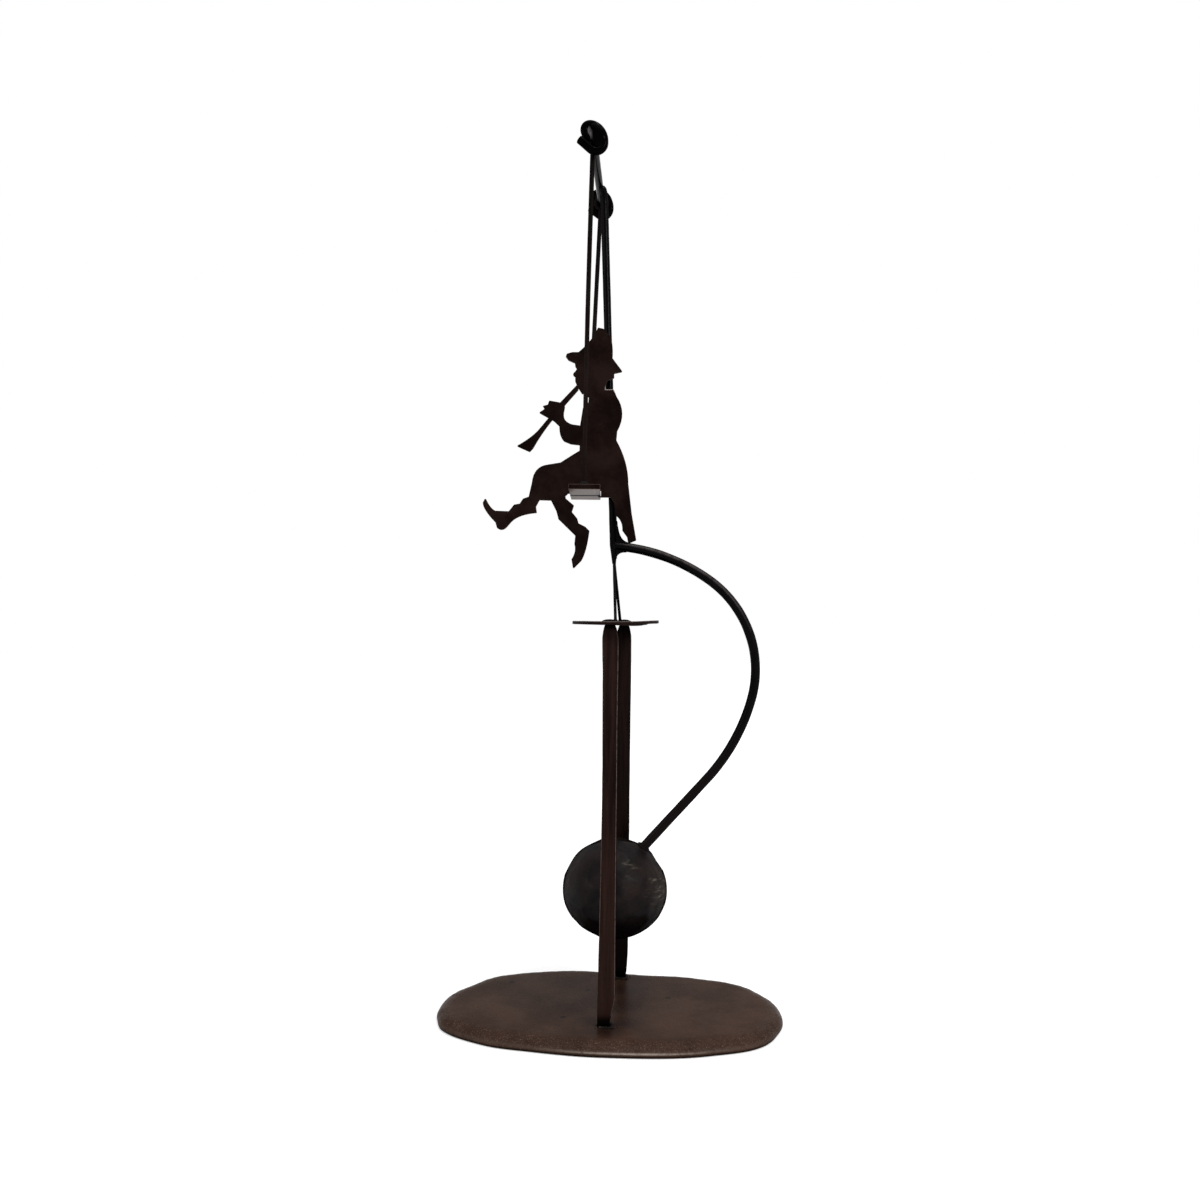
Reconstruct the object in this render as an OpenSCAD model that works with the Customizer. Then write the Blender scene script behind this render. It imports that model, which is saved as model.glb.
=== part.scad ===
// Balancing toy: a sheet-steel piper on a swing, hung from a bent-rod frame that rocks on a stand
// and is held upright by a heavy ball below its feet.
// X runs along the base, Y away from the viewer and Z up. The origin is the middle of the base's underside.

/* [Base] */
// Length of the oval base along X
base_len = 222; // [180:1:280]
// Width of the oval base along Y
base_wid = 134; // [128:1:170]
// Thickness of the base
base_t = 8; // [6:0.5:12]
// Height of the upright lip under the hammered bevel
base_lip = 3; // [1:0.5:4]
// Width of the hammered bevel round the top
base_bevel = 5; // [2:0.5:8]
// Fullness of the base's oval: 2 for a true ellipse, more for a squarer one
base_full = 2.2; // [2:0.05:2.6]
// How far the hand-forged outline wanders from a true oval
base_wander = 0.9; // [0:0.1:2]

/* [Posts] */
// Side of the square bar
post_w = 9; // [7:0.5:12]
// Side of the bar where it is drawn down at both ends
post_end_w = 7; // [6:0.5:7]
// Length of the drawn-down foot
post_foot_taper = 24; // [10:1:40]
// Length of the drawn-down head
post_head_taper = 10; // [5:1:25]
// Clear gap between each post and the ball
ball_side_gap = 7.5; // [2:0.5:15]
// How far the rear post stands to the right of the front one
post_skew = 6; // [0:0.2:12]
// How far the posts stand behind the middle of the base
post_line_y = 7.5; // [0:0.5:10]
// Place of the middle of the two posts along X
post_line_x = 2.4; // [-6:0.2:6]
// Diameter of the tenon through the top plate
tenon_d = 4.5; // [3:0.5:5.5]
// Diameter of the tenon's peened head
tenon_head_d = 8; // [6.5:0.5:12]
// Height of the tenon's peened head
tenon_head_h = 1.4; // [0.8:0.1:2]
// Reach of the weld bead round each post's foot
foot_weld_w = 2.2; // [1:0.1:4]
// Height of the weld bead round each post's foot
foot_weld_h = 2.4; // [1:0.1:4]

/* [Top plate] */
// Width of the top plate along X
plate_wid = 56; // [44:1:80]
// How far the top plate reaches past the middle of each post
plate_over = 9; // [8:0.5:16]
// How far the middle of the top plate lies to the left of the posts' middle
plate_shift = 1.2; // [0:0.1:3]
// Thickness of the top plate
plate_t = 2; // [1.5:0.1:4]
// How far the hand-cut edge wanders from a true oval
plate_wander = 0.7; // [0:0.1:1.5]

/* [Rocker fork] */
// Diameter of the fork's rod
fork_d = 2; // [1.6:0.1:2.4]
// Distance between the two feet along Y
fork_spread = 58; // [36:1:64]
// Height of the fork from the rocking axis to the point where its legs would meet
fork_h = 39.2; // [28:0.2:50]
// Lean of the fork to the left, in degrees
fork_lean = 4.2; // [0:0.1:8]
// Radius of the bend at the top of the fork
fork_bend_r = 3; // [2.5:0.5:6]
// Diameter of the rounded foot at each end of the fork
foot_d = 2.8; // [2.6:0.1:3.4]
// Length of the straight part of each foot
foot_len = 2; // [1:0.1:3]
// Depth of the punched pocket under each foot
pocket_depth = 0.5; // [0.3:0.05:0.7]
// Radial clearance of each foot in its pocket
pocket_clear = 0.08; // [0.05:0.01:0.1]
// Place of the rocking axis along X
rock_x = 2.6; // [-4:0.1:8]

/* [Upright] */
// Diameter of the upright
upright_d = 5; // [4:0.1:6]
// Lean of the upright to the left, in degrees
upright_lean = 2.1; // [0:0.1:4]
// Height of the crossbar's axis above the fork, along the upright
upright_h = 244.8; // [222:0.1:282]
// Length of the taper at the foot of the upright
upright_taper = 8; // [4:0.5:12]
// Diameter of the upright where it meets the fork
upright_tip_d = 3; // [2.6:0.1:4]
// Length of the taper at the head of the upright
upright_head = 9; // [4:0.5:14]
// Diameter of the upright where it meets the crossbar
upright_head_d = 3; // [2.6:0.1:4]

/* [Counterweight] */
// Diameter of the arm
arm_d = 6; // [4.5:0.1:7]
// Height at which the arm leaves the upright, above the fork
arm_rise = 9.8; // [8:0.1:16]
// How far the arm dips where it leaves the upright, in degrees
arm_dip = 7; // [0:0.5:12]
// Straight root of the arm, from the upright's axis
arm_root = 8; // [6:0.5:14]
// Radius of the arm's first bend
arm_r1 = 120; // [108:1:132]
// Angle of the arm's first bend, in degrees
arm_a1 = 28; // [23:0.5:33]
// Radius of the arm's tight middle bend
arm_r2 = 71.5; // [62:0.5:80]
// Angle of the arm's middle bend, in degrees
arm_a2 = 70.5; // [64:0.5:76]
// Radius of the arm's last bend
arm_r3 = 128; // [110:1:150]
// Angle of the arm's last bend, in degrees
arm_a3 = 26.5; // [20:0.5:31]
// Straight run of the arm from its last bend to beside the ball's centre
arm_run = 93.5; // [80:0.5:110]
// Diameter of the ball
ball_d = 66; // [54:1:76]
// How far the ball's middle lies outside the line of the arm
ball_off = 4.9; // [0:0.1:7]
// Height of the ball above the base
ball_clear = 39.5; // [10:0.5:60]
// Depth of the hole in the ball that holds the arm
ball_socket = 16; // [8:0.5:28]
// Radial clearance of the arm in the ball's hole
socket_clear = 0.05; // [0.02:0.01:0.1]
// Reach of the weld bead round the arm on the ball
ball_weld_w = 1.8; // [1:0.1:4]

/* [Junction web] */
// Height of the web up the upright, above the arm
web_up = 16; // [8:0.5:24]
// Reach of the web along the arm
web_out = 9; // [7:0.5:16]
// Depth of the web below the arm
web_down = 8.4; // [5:0.2:9]
// Thickness of the web
web_t = 4; // [2:0.2:4.4]

/* [Crossbar] */
// Diameter of the crossbar
crossbar_d = 5; // [4:0.1:6]
// Distance between the two curls along Y
crossbar_len = 100; // [90:1:112]
// How far the crossbar's axis lies to the left of the upright's
crossbar_shift = 3; // [1:0.1:3.7]
// How far the crossbar's middle lies in front of the upright
crossbar_fore = 16; // [0:0.5:24]
// Radius of the bend from the crossbar into each curl
curl_bend_r = 2.8; // [2.7:0.1:4]
// Direction in which the rod leaves the crossbar's axis, in degrees
curl_spoke_dir = 150; // [140:1:165]
// Radius of the curl's tight inner bend
curl_inner_r = 2.8; // [2.7:0.1:3.4]
// Radius of the curl's outer turns
curl_r = 5.1; // [4.6:0.1:6]
// Straight drop between the curl's two outer turns
curl_drop = 5.8; // [5:0.1:9]
// Angle of the curl's last turn, in degrees
curl_turn = 129; // [115:1:132]
// How far the curl's last turn is skewed outward, in degrees
curl_skew = 10; // [0:1:20]
// Length of the curl's straight lip
curl_lip = 8; // [3:0.5:9]
// Reach of the weld bead under the crossbar
crossbar_weld_w = 0.8; // [0.6:0.1:2]

/* [Swing] */
// Diameter of the hangers
hanger_d = 2.5; // [2:0.1:3]
// Radial clearance of each hanger's eye on the crossbar
eye_clear = 0.1; // [0.05:0.01:0.1]
// How far round to the left of its eye's lowest point each hanger leaves it, in degrees
eye_turn = 10; // [0:1:30]
// Gap between each eye and the bend into the curl
eye_gap = 0.8; // [0.4:0.1:3]
// Drop of the seat's top below the crossbar's axis
seat_drop = 200.4; // [190:0.2:210]
// Width of the seat along X
seat_wid = 19.5; // [16:0.5:24]
// Length of the seat along Y
seat_len = 57; // [50:1:90]
// Thickness of the seat
seat_t = 3.2; // [1.5:0.1:4]
// Gap between the seat and the upright
seat_gap = 4.4; // [3:0.1:8]
// Twist of the seat about the vertical, in degrees
seat_twist = 2.8; // [0:0.2:5]
// Distance of each hanger's foot from the seat's end
hanger_inset = 3; // [2.8:0.1:8]
// Reach of the weld bead round each hanger's foot
hanger_weld_w = 1.4; // [0.6:0.1:1.5]
// Height of the weld bead round each hanger's foot
hanger_weld_h = 2.6; // [1:0.1:4]

/* [Figure] */
// Height of the figure from its sitting line to the tip of its hat
figure_h = 104.2; // [98:0.2:107]
// Height of the figure's sitting line above the seat's top
figure_rise = 0.5; // [0.2:0.1:3]
// How far the figure's middle lies to the left of the seat's
figure_shift = 0.4; // [0:0.1:3]
// Thickness of the figure's sheet
figure_t = 2; // [1.2:0.1:3]
// Gap between the figure's sheet and the rods behind it
figure_gap = 7; // [0.5:0.1:9]
// Clearance of the seat in the figure's slot
slot_clear = 0.3; // [0.1:0.05:0.6]
// Rounding of the figure's cut corners
figure_round = 0.5; // [0.2:0.1:0.8]
// Length of the tack weld behind the figure
tack_len = 12; // [6:0.5:14]
// Radius of the tack weld behind the figure
tack_r = 1.6; // [0.8:0.1:2.5]

/* [Hidden] */
$fn = 96;

rod_black = "#141315";
patina_brown = "#2a1e1a";
base_brown = "#44352d";
ball_grey = "#2e2c2b";
weld_grey = "#5b554e";
rim_steps = 72;
corner_steps = 16;
curve_steps = 8;
hair = 0.01;
bend_draw = 0.05;
drawn_h = 105;
bend_lap = 0.3;

// Headings of the arm, in degrees below the horizontal, at the end of each bend
heading1 = arm_dip + arm_a1;
heading2 = heading1 + arm_a2;
heading3 = heading2 + arm_a3;

// Places along the rods, as [x, z] from the rocking axis
apex = fork_h * [-sin(fork_lean), cos(fork_lean)];
upright_dir = [-sin(upright_lean), cos(upright_lean)];
arm_start = apex + arm_rise * upright_dir;
ball_at = arm_start
    + arm_root * [cos(arm_dip), -sin(arm_dip)]
    + bend_shift(arm_r1, arm_dip, heading1)
    + bend_shift(arm_r2, heading1, heading2)
    + bend_shift(arm_r3, heading2, heading3)
    + arm_run * [cos(heading3), -sin(heading3)];
ball_mid = ball_at + ball_off * [sin(heading3), cos(heading3)];
crossbar_at = apex + upright_h * upright_dir - [crossbar_shift, 0];

// The stand is as tall as the ball needs
ball_r = ball_d / 2;
rock_z = base_t + ball_clear + ball_r - ball_mid[1];
plate_top = rock_z - foot_d / 2 + pocket_depth;
plate_under = plate_top - plate_t;
post_pitch = ball_d + post_w + 2 * ball_side_gap;
plate_len = post_pitch + 2 * plate_over;

// The seat hangs beside the upright
seat_top = rock_z + crossbar_at[1] - seat_drop;
seat_rise = seat_top - rock_z - apex[1];
upright_left = rock_x + apex[0] - seat_rise * tan(upright_lean) - upright_d / 2 / cos(upright_lean);
seat_x = upright_left - seat_gap - seat_wid / 2;
swing_x = rock_x + crossbar_at[0];
swing_z = rock_z + crossbar_at[1];
bar_end = crossbar_len / 2 - curl_bend_r;
eye_y = bar_end - eye_gap - hanger_d / 2;
eye_r = crossbar_d / 2 + eye_clear + hanger_d / 2;
figure_back = crossbar_fore - max(upright_d, arm_d) / 2 - figure_gap;

// Shift along a bend that turns clockwise from one heading to another
function bend_shift(r, from, to) = r * [sin(to) - sin(from), cos(to) - cos(from)];

// Points on a curve from a to b that is drawn toward the corner c
function soft_curve(a, c, b) = [
    for (i = [0 : curve_steps])
        let (t = i / curve_steps)
        (1 - t) * (1 - t) * a + 2 * t * (1 - t) * c + t * t * b
];

// One coordinate of a point on an oval, from the cosine or sine of its angle
function oval(c, full) = sign(c) * pow(abs(c), 2 / full);

// Outline of a hand-worked oval, with a slow wander of its edge
function rim(len_x, len_y, full, wander, inset) = [
    for (i = [0 : rim_steps - 1])
        let (t = i * 360 / rim_steps)
        let (drift = wander * (sin(2 * t + 35) * sin(3 * t) * sin(t)) * sin(2 * t))
        [(len_x / 2 - inset + drift) * oval(cos(t), full), (len_y / 2 - inset + drift) * oval(sin(t), full)]
];

// A rod bent along a chain of moves. Each move is [length, 0, roll] for a straight run or
// [radius, turn, roll] for a clockwise bend, rolled about the rod first. Every other move is drawn
// a little thinner and laps into its neighbours, so that the chain is one solid.
module bent_rod(moves, d, thin_first = false, i = 0) {
    if (i < len(moves)) {
        reach = moves[i][0];
        turn = moves[i][1];
        thin = (i % 2 == 0) == thin_first;
        size = thin ? d - 2 * bend_draw : d;
        lap = thin ? bend_lap : 0;
        rotate([moves[i][2], 0, 0]) {
            if (turn == 0) {
                translate([-lap, 0, 0]) rotate([0, 90, 0]) cylinder(d = size, h = reach + 2 * lap);
                translate([reach, 0, 0]) bent_rod(moves, d, thin_first, i + 1);
            } else {
                lap_turn = atan(lap / reach);
                translate([0, 0, -reach]) {
                    rotate([-90, -90, 0])
                        rotate([0, 0, -lap_turn])
                        rotate_extrude(angle = turn + 2 * lap_turn)
                        translate([reach, 0])
                        circle(d = size);
                    rotate([0, turn, 0])
                        translate([0, 0, reach])
                        bent_rod(moves, d, thin_first, i + 1);
                }
            }
        }
    }
}

// A straight rod between two points
module rod_between(a, b, d) {
    v = b - a;
    translate(a)
        rotate([0, acos(v[2] / norm(v)), atan2(v[1], v[0])])
        cylinder(d = d, h = norm(v));
}

// Stands a flat outline of x and z upright, t thick, with its back at y
module stand_up(t, y) {
    translate([0, y, 0]) rotate([90, 0, 0]) linear_extrude(t) children();
}

// Moves what the posts carry, and the posts, back from the middle of the base
module on_stand() {
    translate([0, post_line_y, 0]) children();
}

module at_rock() {
    translate([rock_x, 0, rock_z]) children();
}

module at_apex() {
    at_rock() translate([apex[0], 0, apex[1]]) children();
}

// Moves the crossbar, and the swing that hangs from it, in front of the upright
module in_front() {
    translate([0, -crossbar_fore, 0]) children();
}

module at_seat() {
    in_front() translate([seat_x, 0, seat_top]) children();
}

module base_rim(inset) {
    polygon(rim(base_len, base_wid, base_full, base_wander, inset));
}

module base_plate() {
    color(base_brown) {
        linear_extrude(base_lip) base_rim(0);
        translate([0, 0, base_lip]) hull() {
            linear_extrude(hair) base_rim(0);
            translate([0, 0, base_t - base_lip - hair]) linear_extrude(hair) base_rim(base_bevel);
        }
    }
}

// Half width of the square bar against height, as a closed outline
module post_profile() {
    half = post_w / 2;
    end = post_end_w / 2;
    polygon([
        [-end, base_t],
        [end, base_t],
        [half, base_t + post_foot_taper],
        [half, plate_under - post_head_taper],
        [end, plate_under],
        [-end, plate_under],
        [-half, plate_under - post_head_taper],
        [-half, base_t + post_foot_taper]
    ]);
}

module at_post(side) {
    translate([post_line_x + side * post_skew / 2, side * post_pitch / 2, 0]) children();
}

module post_bar() {
    intersection() {
        stand_up(post_w, post_w / 2) post_profile();
        rotate([0, 0, 90]) stand_up(post_w, post_w / 2) post_profile();
    }
}

// Low dome with a flat underside
module dome(d, h) {
    ball = (d * d / 4 + h * h) / (2 * h);
    intersection() {
        translate([0, 0, h - ball]) sphere(r = ball);
        cylinder(d = d, h = h);
    }
}

module post(side) {
    color(patina_brown) at_post(side) {
        post_bar();
        translate([0, 0, plate_under]) cylinder(d = tenon_d, h = plate_t);
        translate([0, 0, plate_top]) dome(tenon_head_d, tenon_head_h);
    }
}

module front_post() {
    post(-1);
}

module rear_post() {
    post(1);
}

// Square bead that tapers up round a post's foot
module foot_weld(side) {
    wide = post_end_w + 2 * foot_weld_w;
    color(weld_grey) at_post(side) difference() {
        translate([0, 0, base_t]) hull() {
            translate([-wide / 2, -wide / 2, 0]) cube([wide, wide, hair]);
            translate([-post_w / 2, -post_w / 2, foot_weld_h]) cube([post_w, post_w, hair]);
        }
        post_bar();
    }
}

module front_foot_weld() {
    foot_weld(-1);
}

module rear_foot_weld() {
    foot_weld(1);
}

// Rounded foot along the rocking axis, or the pocket for it with some room round it
module foot(side, room) {
    d = foot_d + 2 * room;
    at_rock()
        translate([0, side * fork_spread / 2, 0])
        rotate([90, 0, 0])
        rotate_extrude()
        intersection() {
            translate([0, -foot_len - d]) square([d, 2 * (foot_len + d)]);
            union() {
                square([d, foot_len], center = true);
                translate([0, -foot_len / 2]) circle(d = d);
                translate([0, foot_len / 2]) circle(d = d);
            }
        }
}

module top_plate() {
    color(patina_brown) difference() {
        translate([post_line_x - plate_shift, 0, plate_under])
            linear_extrude(plate_t)
            polygon(rim(plate_wid, plate_len, 2, plate_wander, 0));
        for (side = [-1, 1]) {
            at_post(side) translate([0, 0, plate_under - 1]) cylinder(d = tenon_d, h = plate_t + 2);
            foot(side, pocket_clear);
        }
    }
}

module fork_solid() {
    splay = atan(fork_spread / 2 / fork_h);
    turn = 180 - 2 * splay;
    leg = norm([fork_spread / 2, fork_h]) - fork_bend_r * tan(turn / 2);
    at_rock()
        rotate([0, -fork_lean, 0])
        translate([0, -fork_spread / 2, 0])
        rotate([0, 0, 90])
        rotate([0, splay - 90, 0])
        bent_rod([[leg, 0, 0], [fork_bend_r, turn, 0], [leg, 0, 0]], fork_d);
    for (side = [-1, 1]) foot(side, 0);
}

module rocker_fork() {
    color(rod_black) fork_solid();
}

// The upright from the top of the fork's bend, drawn to a taper at its foot and head
module upright_rod() {
    splay = atan(fork_spread / 2 / fork_h);
    foot_z = fork_bend_r - fork_bend_r / sin(splay);
    at_apex()
        rotate([0, -upright_lean, 0])
        rotate_extrude()
        polygon([
            [0, foot_z],
            [upright_tip_d / 2, foot_z],
            [upright_d / 2, foot_z + upright_taper],
            [upright_d / 2, upright_h - upright_head],
            [upright_head_d / 2, upright_h],
            [0, upright_h]
        ]);
}

module crossbar_bar() {
    in_front()
        translate([swing_x, 0, swing_z])
        rotate([90, 0, 0])
        cylinder(d = crossbar_d, h = 2 * bar_end, center = true);
}

// The front curl: the bar turns out of its own line, climbs on the left, goes over the top, comes down
// on the right and ends in a lip that crosses below the bar
module crossbar_curl() {
    translate([swing_x, -bar_end, swing_z])
        rotate([0, 270 - curl_spoke_dir, 0])
        rotate([0, 0, -90])
        bent_rod(
            [
                [curl_bend_r, 90, 0],
                [curl_inner_r, curl_spoke_dir - 90, -90],
                [curl_r, 180, 0],
                [curl_drop, 0, 0],
                [curl_r, curl_turn, -curl_skew],
                [curl_lip, 0, 0]
            ],
            crossbar_d,
            thin_first = true
        );
}

module upright() {
    color(rod_black) difference() {
        upright_rod();
        fork_solid();
        crossbar_bar();
    }
}

module crossbar() {
    color(rod_black) {
        crossbar_bar();
        in_front() {
            crossbar_curl();
            mirror([0, 1, 0]) crossbar_curl();
        }
    }
}

module crossbar_weld() {
    reach = upright_d / 2 + crossbar_weld_w;
    color(weld_grey) difference() {
        translate([swing_x + crossbar_shift / 2, 0, swing_z - crossbar_d / 2]) sphere(r = reach);
        upright_rod();
        crossbar_bar();
    }
}

module arm_solid() {
    at_rock()
        translate([arm_start[0], 0, arm_start[1]])
        rotate([0, arm_dip, 0])
        bent_rod(
            [
                [arm_root, 0, 0],
                [arm_r1, arm_a1, 0],
                [arm_r2, arm_a2, 0],
                [arm_r3, arm_a3, 0],
                [arm_run - ball_r + ball_socket, 0, 0]
            ],
            arm_d
        );
}

module counterweight_arm() {
    color(rod_black) difference() {
        arm_solid();
        upright_rod();
    }
}

// The two fillets between the upright and the arm, above and below it
module junction_weld() {
    slope = arm_dip + upright_lean;
    edge = upright_d / 2;
    along = [cos(slope), -sin(slope)];
    above = arm_d / 2 * [sin(slope), cos(slope)];
    top = soft_curve([edge, web_up], edge * along + above, web_out * along + above);
    low = soft_curve(web_out * along - above, edge * along - above, [upright_tip_d / 2, -web_down]);
    color(rod_black) difference() {
        at_apex()
            rotate([0, -upright_lean, 0])
            translate([0, 0, arm_rise])
            stand_up(web_t, web_t / 2)
            polygon(concat([[0, web_up]], top, low, [[0, -web_down]]));
        upright_rod();
        fork_solid();
        arm_solid();
    }
}

// Puts the arm's last run along Z, with the place beside the ball's centre at the origin
module at_ball() {
    at_rock()
        translate([ball_at[0], 0, ball_at[1]])
        rotate([0, heading3 - 90, 0])
        children();
}

module ball_solid() {
    translate([ball_off, 0, 0]) sphere(d = ball_d);
}

module counterweight_ball() {
    color(ball_grey) at_ball() difference() {
        ball_solid();
        translate([0, 0, ball_r - ball_socket])
            cylinder(d = arm_d + 2 * socket_clear, h = ball_socket + 1);
    }
}

// Bead in the corner between the arm and the ball
module ball_weld() {
    bead = arm_d / 2 + ball_weld_w;
    low_z = sqrt(ball_r * ball_r - (bead + ball_off) * (bead + ball_off));
    color(weld_grey) at_ball() difference() {
        translate([0, 0, low_z])
            cylinder(r1 = bead, r2 = arm_d / 2 + socket_clear, h = ball_r - low_z + 2 * ball_weld_w);
        ball_solid();
        cylinder(d = arm_d + 2 * socket_clear, h = ball_d);
    }
}

// Foot of a hanger on the seat's top, near one end of the seat
function hanger_foot(side) =
    let (out = side * (seat_len / 2 - hanger_inset))
    [seat_x - out * sin(seat_twist), out * cos(seat_twist), seat_top];

module seat_solid(room) {
    at_seat()
        rotate([0, 0, seat_twist])
        translate([-seat_wid / 2 - room, -seat_len / 2, -seat_t - room])
        cube([seat_wid + 2 * room, seat_len, seat_t + room]);
}

// The straight part of a hanger, which ends inside the seat's thickness
module hanger_rod(side) {
    eye = [swing_x, side * eye_y, swing_z];
    foot = hanger_foot(side);
    start = eye + eye_r * [-sin(eye_turn), 0, -cos(eye_turn)];
    run = (foot - start) / norm(foot - start);
    in_front() rod_between(start, foot + run * seat_t / 2, hanger_d);
}

module hanger(side) {
    color(rod_black) difference() {
        union() {
            hanger_rod(side);
            in_front()
                translate([swing_x, side * eye_y, swing_z])
                rotate([90, 0, 0])
                rotate_extrude()
                translate([eye_r, 0])
                circle(d = hanger_d);
        }
        seat_solid(0);
    }
}

module front_hanger() {
    hanger(-1);
}

module rear_hanger() {
    hanger(1);
}

module hanger_weld(side) {
    color(weld_grey) difference() {
        in_front()
            translate(hanger_foot(side))
            cylinder(r1 = hanger_d / 2 + hanger_weld_w, r2 = hanger_d / 2 + hair, h = hanger_weld_h);
        hanger_rod(side);
    }
}

module front_hanger_weld() {
    hanger_weld(-1);
}

module rear_hanger_weld() {
    hanger_weld(1);
}

module seat_plate() {
    color(patina_brown) seat_solid(0);
}

// The figure's outlines, in x and z from the middle of its sitting line, drawn at a height of drawn_h

// Tall hat with its point folded back and a brim that dips behind
module hat_outline() {
    polygon(concat(
        [[-8, 82.2], [-11.6, 83.8], [-13.3, 86], [-12.6, 88], [-9, 89]],
        soft_curve([-5, 89], [1, 94], [4.5, 99.2]),
        [[7.5, 104.8], [11, 104]],
        soft_curve([16, 98.5], [17.5, 92], [17, 85]),
        [[23.6, 76.3], [18.5, 75.2]]
    ));
}

// Head in profile, with the hair cut square behind
module head_outline() {
    polygon(concat(
        [[-7.5, 83], [-7, 79.5], [-6, 78]],
        soft_curve([-7, 76.5], [-9.8, 74.2], [-7, 73]),
        [[-7, 70], [-5.5, 66.5], [-2.5, 62], [12.6, 63], [12.6, 68.2], [14, 70.8], [18.2, 72.3], [18.2, 76], [10, 84]]
    ));
}

// Coat with a round back, drawn in at the waist, and its long tail
module coat_outline() {
    polygon(concat(
        [[-1.5, 61.5], [12, 64.9], [18, 64.9]],
        soft_curve([20, 60], [27, 50], [20.5, 38]),
        soft_curve([20, 32], [28, 18], [28, 4]),
        [[30.4, -15.5], [33.5, -32.5], [28.3, -34.8], [27.5, -30.5]],
        soft_curve([24.4, -26.3], [24.6, -20], [20.4, -16.8]),
        [[18.6, -8], [16.7, -4.9], [9, -4.9], [-4, 12], [-3.5, 42]],
        soft_curve([-1.8, 53], [6, 58.4], [-1.5, 62.5])
    ));
}

// Sleeve from the elbow up to the hand, with its ragged cuff
module sleeve_outline() {
    polygon(concat(
        [[0, 28.4], [-9.5, 29.5]],
        soft_curve([-13.8, 31.2], [-17, 34], [-17, 41]),
        [[-20.5, 44.3], [-26, 47.4], [-30.4, 49.8], [-26.8, 52.2], [-28, 54.2], [-24.7, 55], [-23.7, 57.7]],
        [[-17, 56.5], [-13.5, 54]],
        soft_curve([-14.2, 50], [-15, 44], [-8.5, 42.2]),
        [[0, 41]]
    ));
}

// Horn from the mouth down to its flared bell
module horn_outline() {
    polygon(concat(
        [[-4.5, 69.2], [-17.3, 55.7], [-24.6, 45.8]],
        soft_curve([-29, 40.5], [-34, 34], [-44.8, 28.2]),
        [[-36.2, 24.4]],
        soft_curve([-34, 26.8], [-29, 36], [-21, 46]),
        [[-12, 56.5], [-5, 64.5]]
    ));
}

// Thigh on the seat, with the bent knee
module thigh_outline() {
    polygon(concat(
        [[6, 26], [-3.3, 25.5], [-7.5, 23], [-16, 17.6]],
        soft_curve([-24.5, 16.2], [-33.5, 15], [-34.5, 4.5]),
        [[-36.5, -4.6], [-29.5, -6.8], [-22, -7], [-12.5, -4], [-11, -2.5], [12, -2.5]]
    ));
}

// Lower leg that kicks out, its ragged hem and its turned-up shoe
module kicking_leg_outline() {
    polygon(concat(
        [[-34, 2], [-36.5, -4.6], [-40.2, -5.9], [-42.3, -9.1], [-46, -9.8], [-49.4, -14.1]],
        soft_curve([-58.2, -13.8], [-62, -12], [-64.8, -5.5]),
        soft_curve([-66.4, -8.5], [-66.5, -13], [-58, -21.5]),
        soft_curve([-57, -25], [-54, -27.5], [-51, -24.7]),
        soft_curve([-47.8, -21], [-43, -16], [-31.2, -15.1]),
        [[-31.8, -11], [-29.5, -6.7], [-26, 0]]
    ));
}

// Lower leg that hangs under the seat, its ragged hem and its pointed shoe
module hanging_leg_outline() {
    polygon(concat(
        [[-24, -2], [-22, -7], [-18.4, -14], [-17, -19.2], [-6, -29.8]],
        soft_curve([-6.5, -35.2], [-5, -40], [-8.3, -45]),
        [[-7.2, -51.3]],
        soft_curve([-2, -46], [1.5, -40], [3.1, -26.5]),
        [[0.5, -23.9], [-4, -21.7], [-4.9, -18.5], [-8.4, -14.3], [-7.1, -10.1], [-12.5, -5.6], [-12.8, -3]],
        [[-13.5, 2]]
    ));
}

module figure_outline() {
    offset(r = figure_round, $fn = corner_steps)
        offset(delta = -figure_round)
        translate([-figure_shift, figure_rise])
        scale(figure_h / drawn_h)
        union() {
            hat_outline();
            head_outline();
            coat_outline();
            sleeve_outline();
            horn_outline();
            thigh_outline();
            kicking_leg_outline();
            hanging_leg_outline();
        }
}

module piper_figure() {
    color(patina_brown) difference() {
        at_seat() stand_up(figure_t, figure_back) figure_outline();
        seat_solid(slot_clear);
    }
}

// Quarter-round bead on the seat, against the figure's back
module figure_weld() {
    color(weld_grey)
        at_seat()
        translate([0, figure_back, 0])
        intersection() {
            rotate([0, 90, 0]) cylinder(r = tack_r, h = tack_len, center = true);
            translate([-tack_len / 2, 0, 0]) cube([tack_len, tack_r, tack_r]);
        }
}

base_plate();
on_stand() front_post();
on_stand() rear_post();
on_stand() front_foot_weld();
on_stand() rear_foot_weld();
on_stand() top_plate();
on_stand() rocker_fork();
on_stand() upright();
on_stand() junction_weld();
on_stand() counterweight_arm();
on_stand() counterweight_ball();
on_stand() ball_weld();
on_stand() crossbar();
on_stand() crossbar_weld();
on_stand() front_hanger();
on_stand() rear_hanger();
on_stand() front_hanger_weld();
on_stand() rear_hanger_weld();
on_stand() seat_plate();
on_stand() piper_figure();
on_stand() figure_weld();
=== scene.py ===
import math

import bmesh
import bpy
from mathutils import Matrix, Vector, noise


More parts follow.
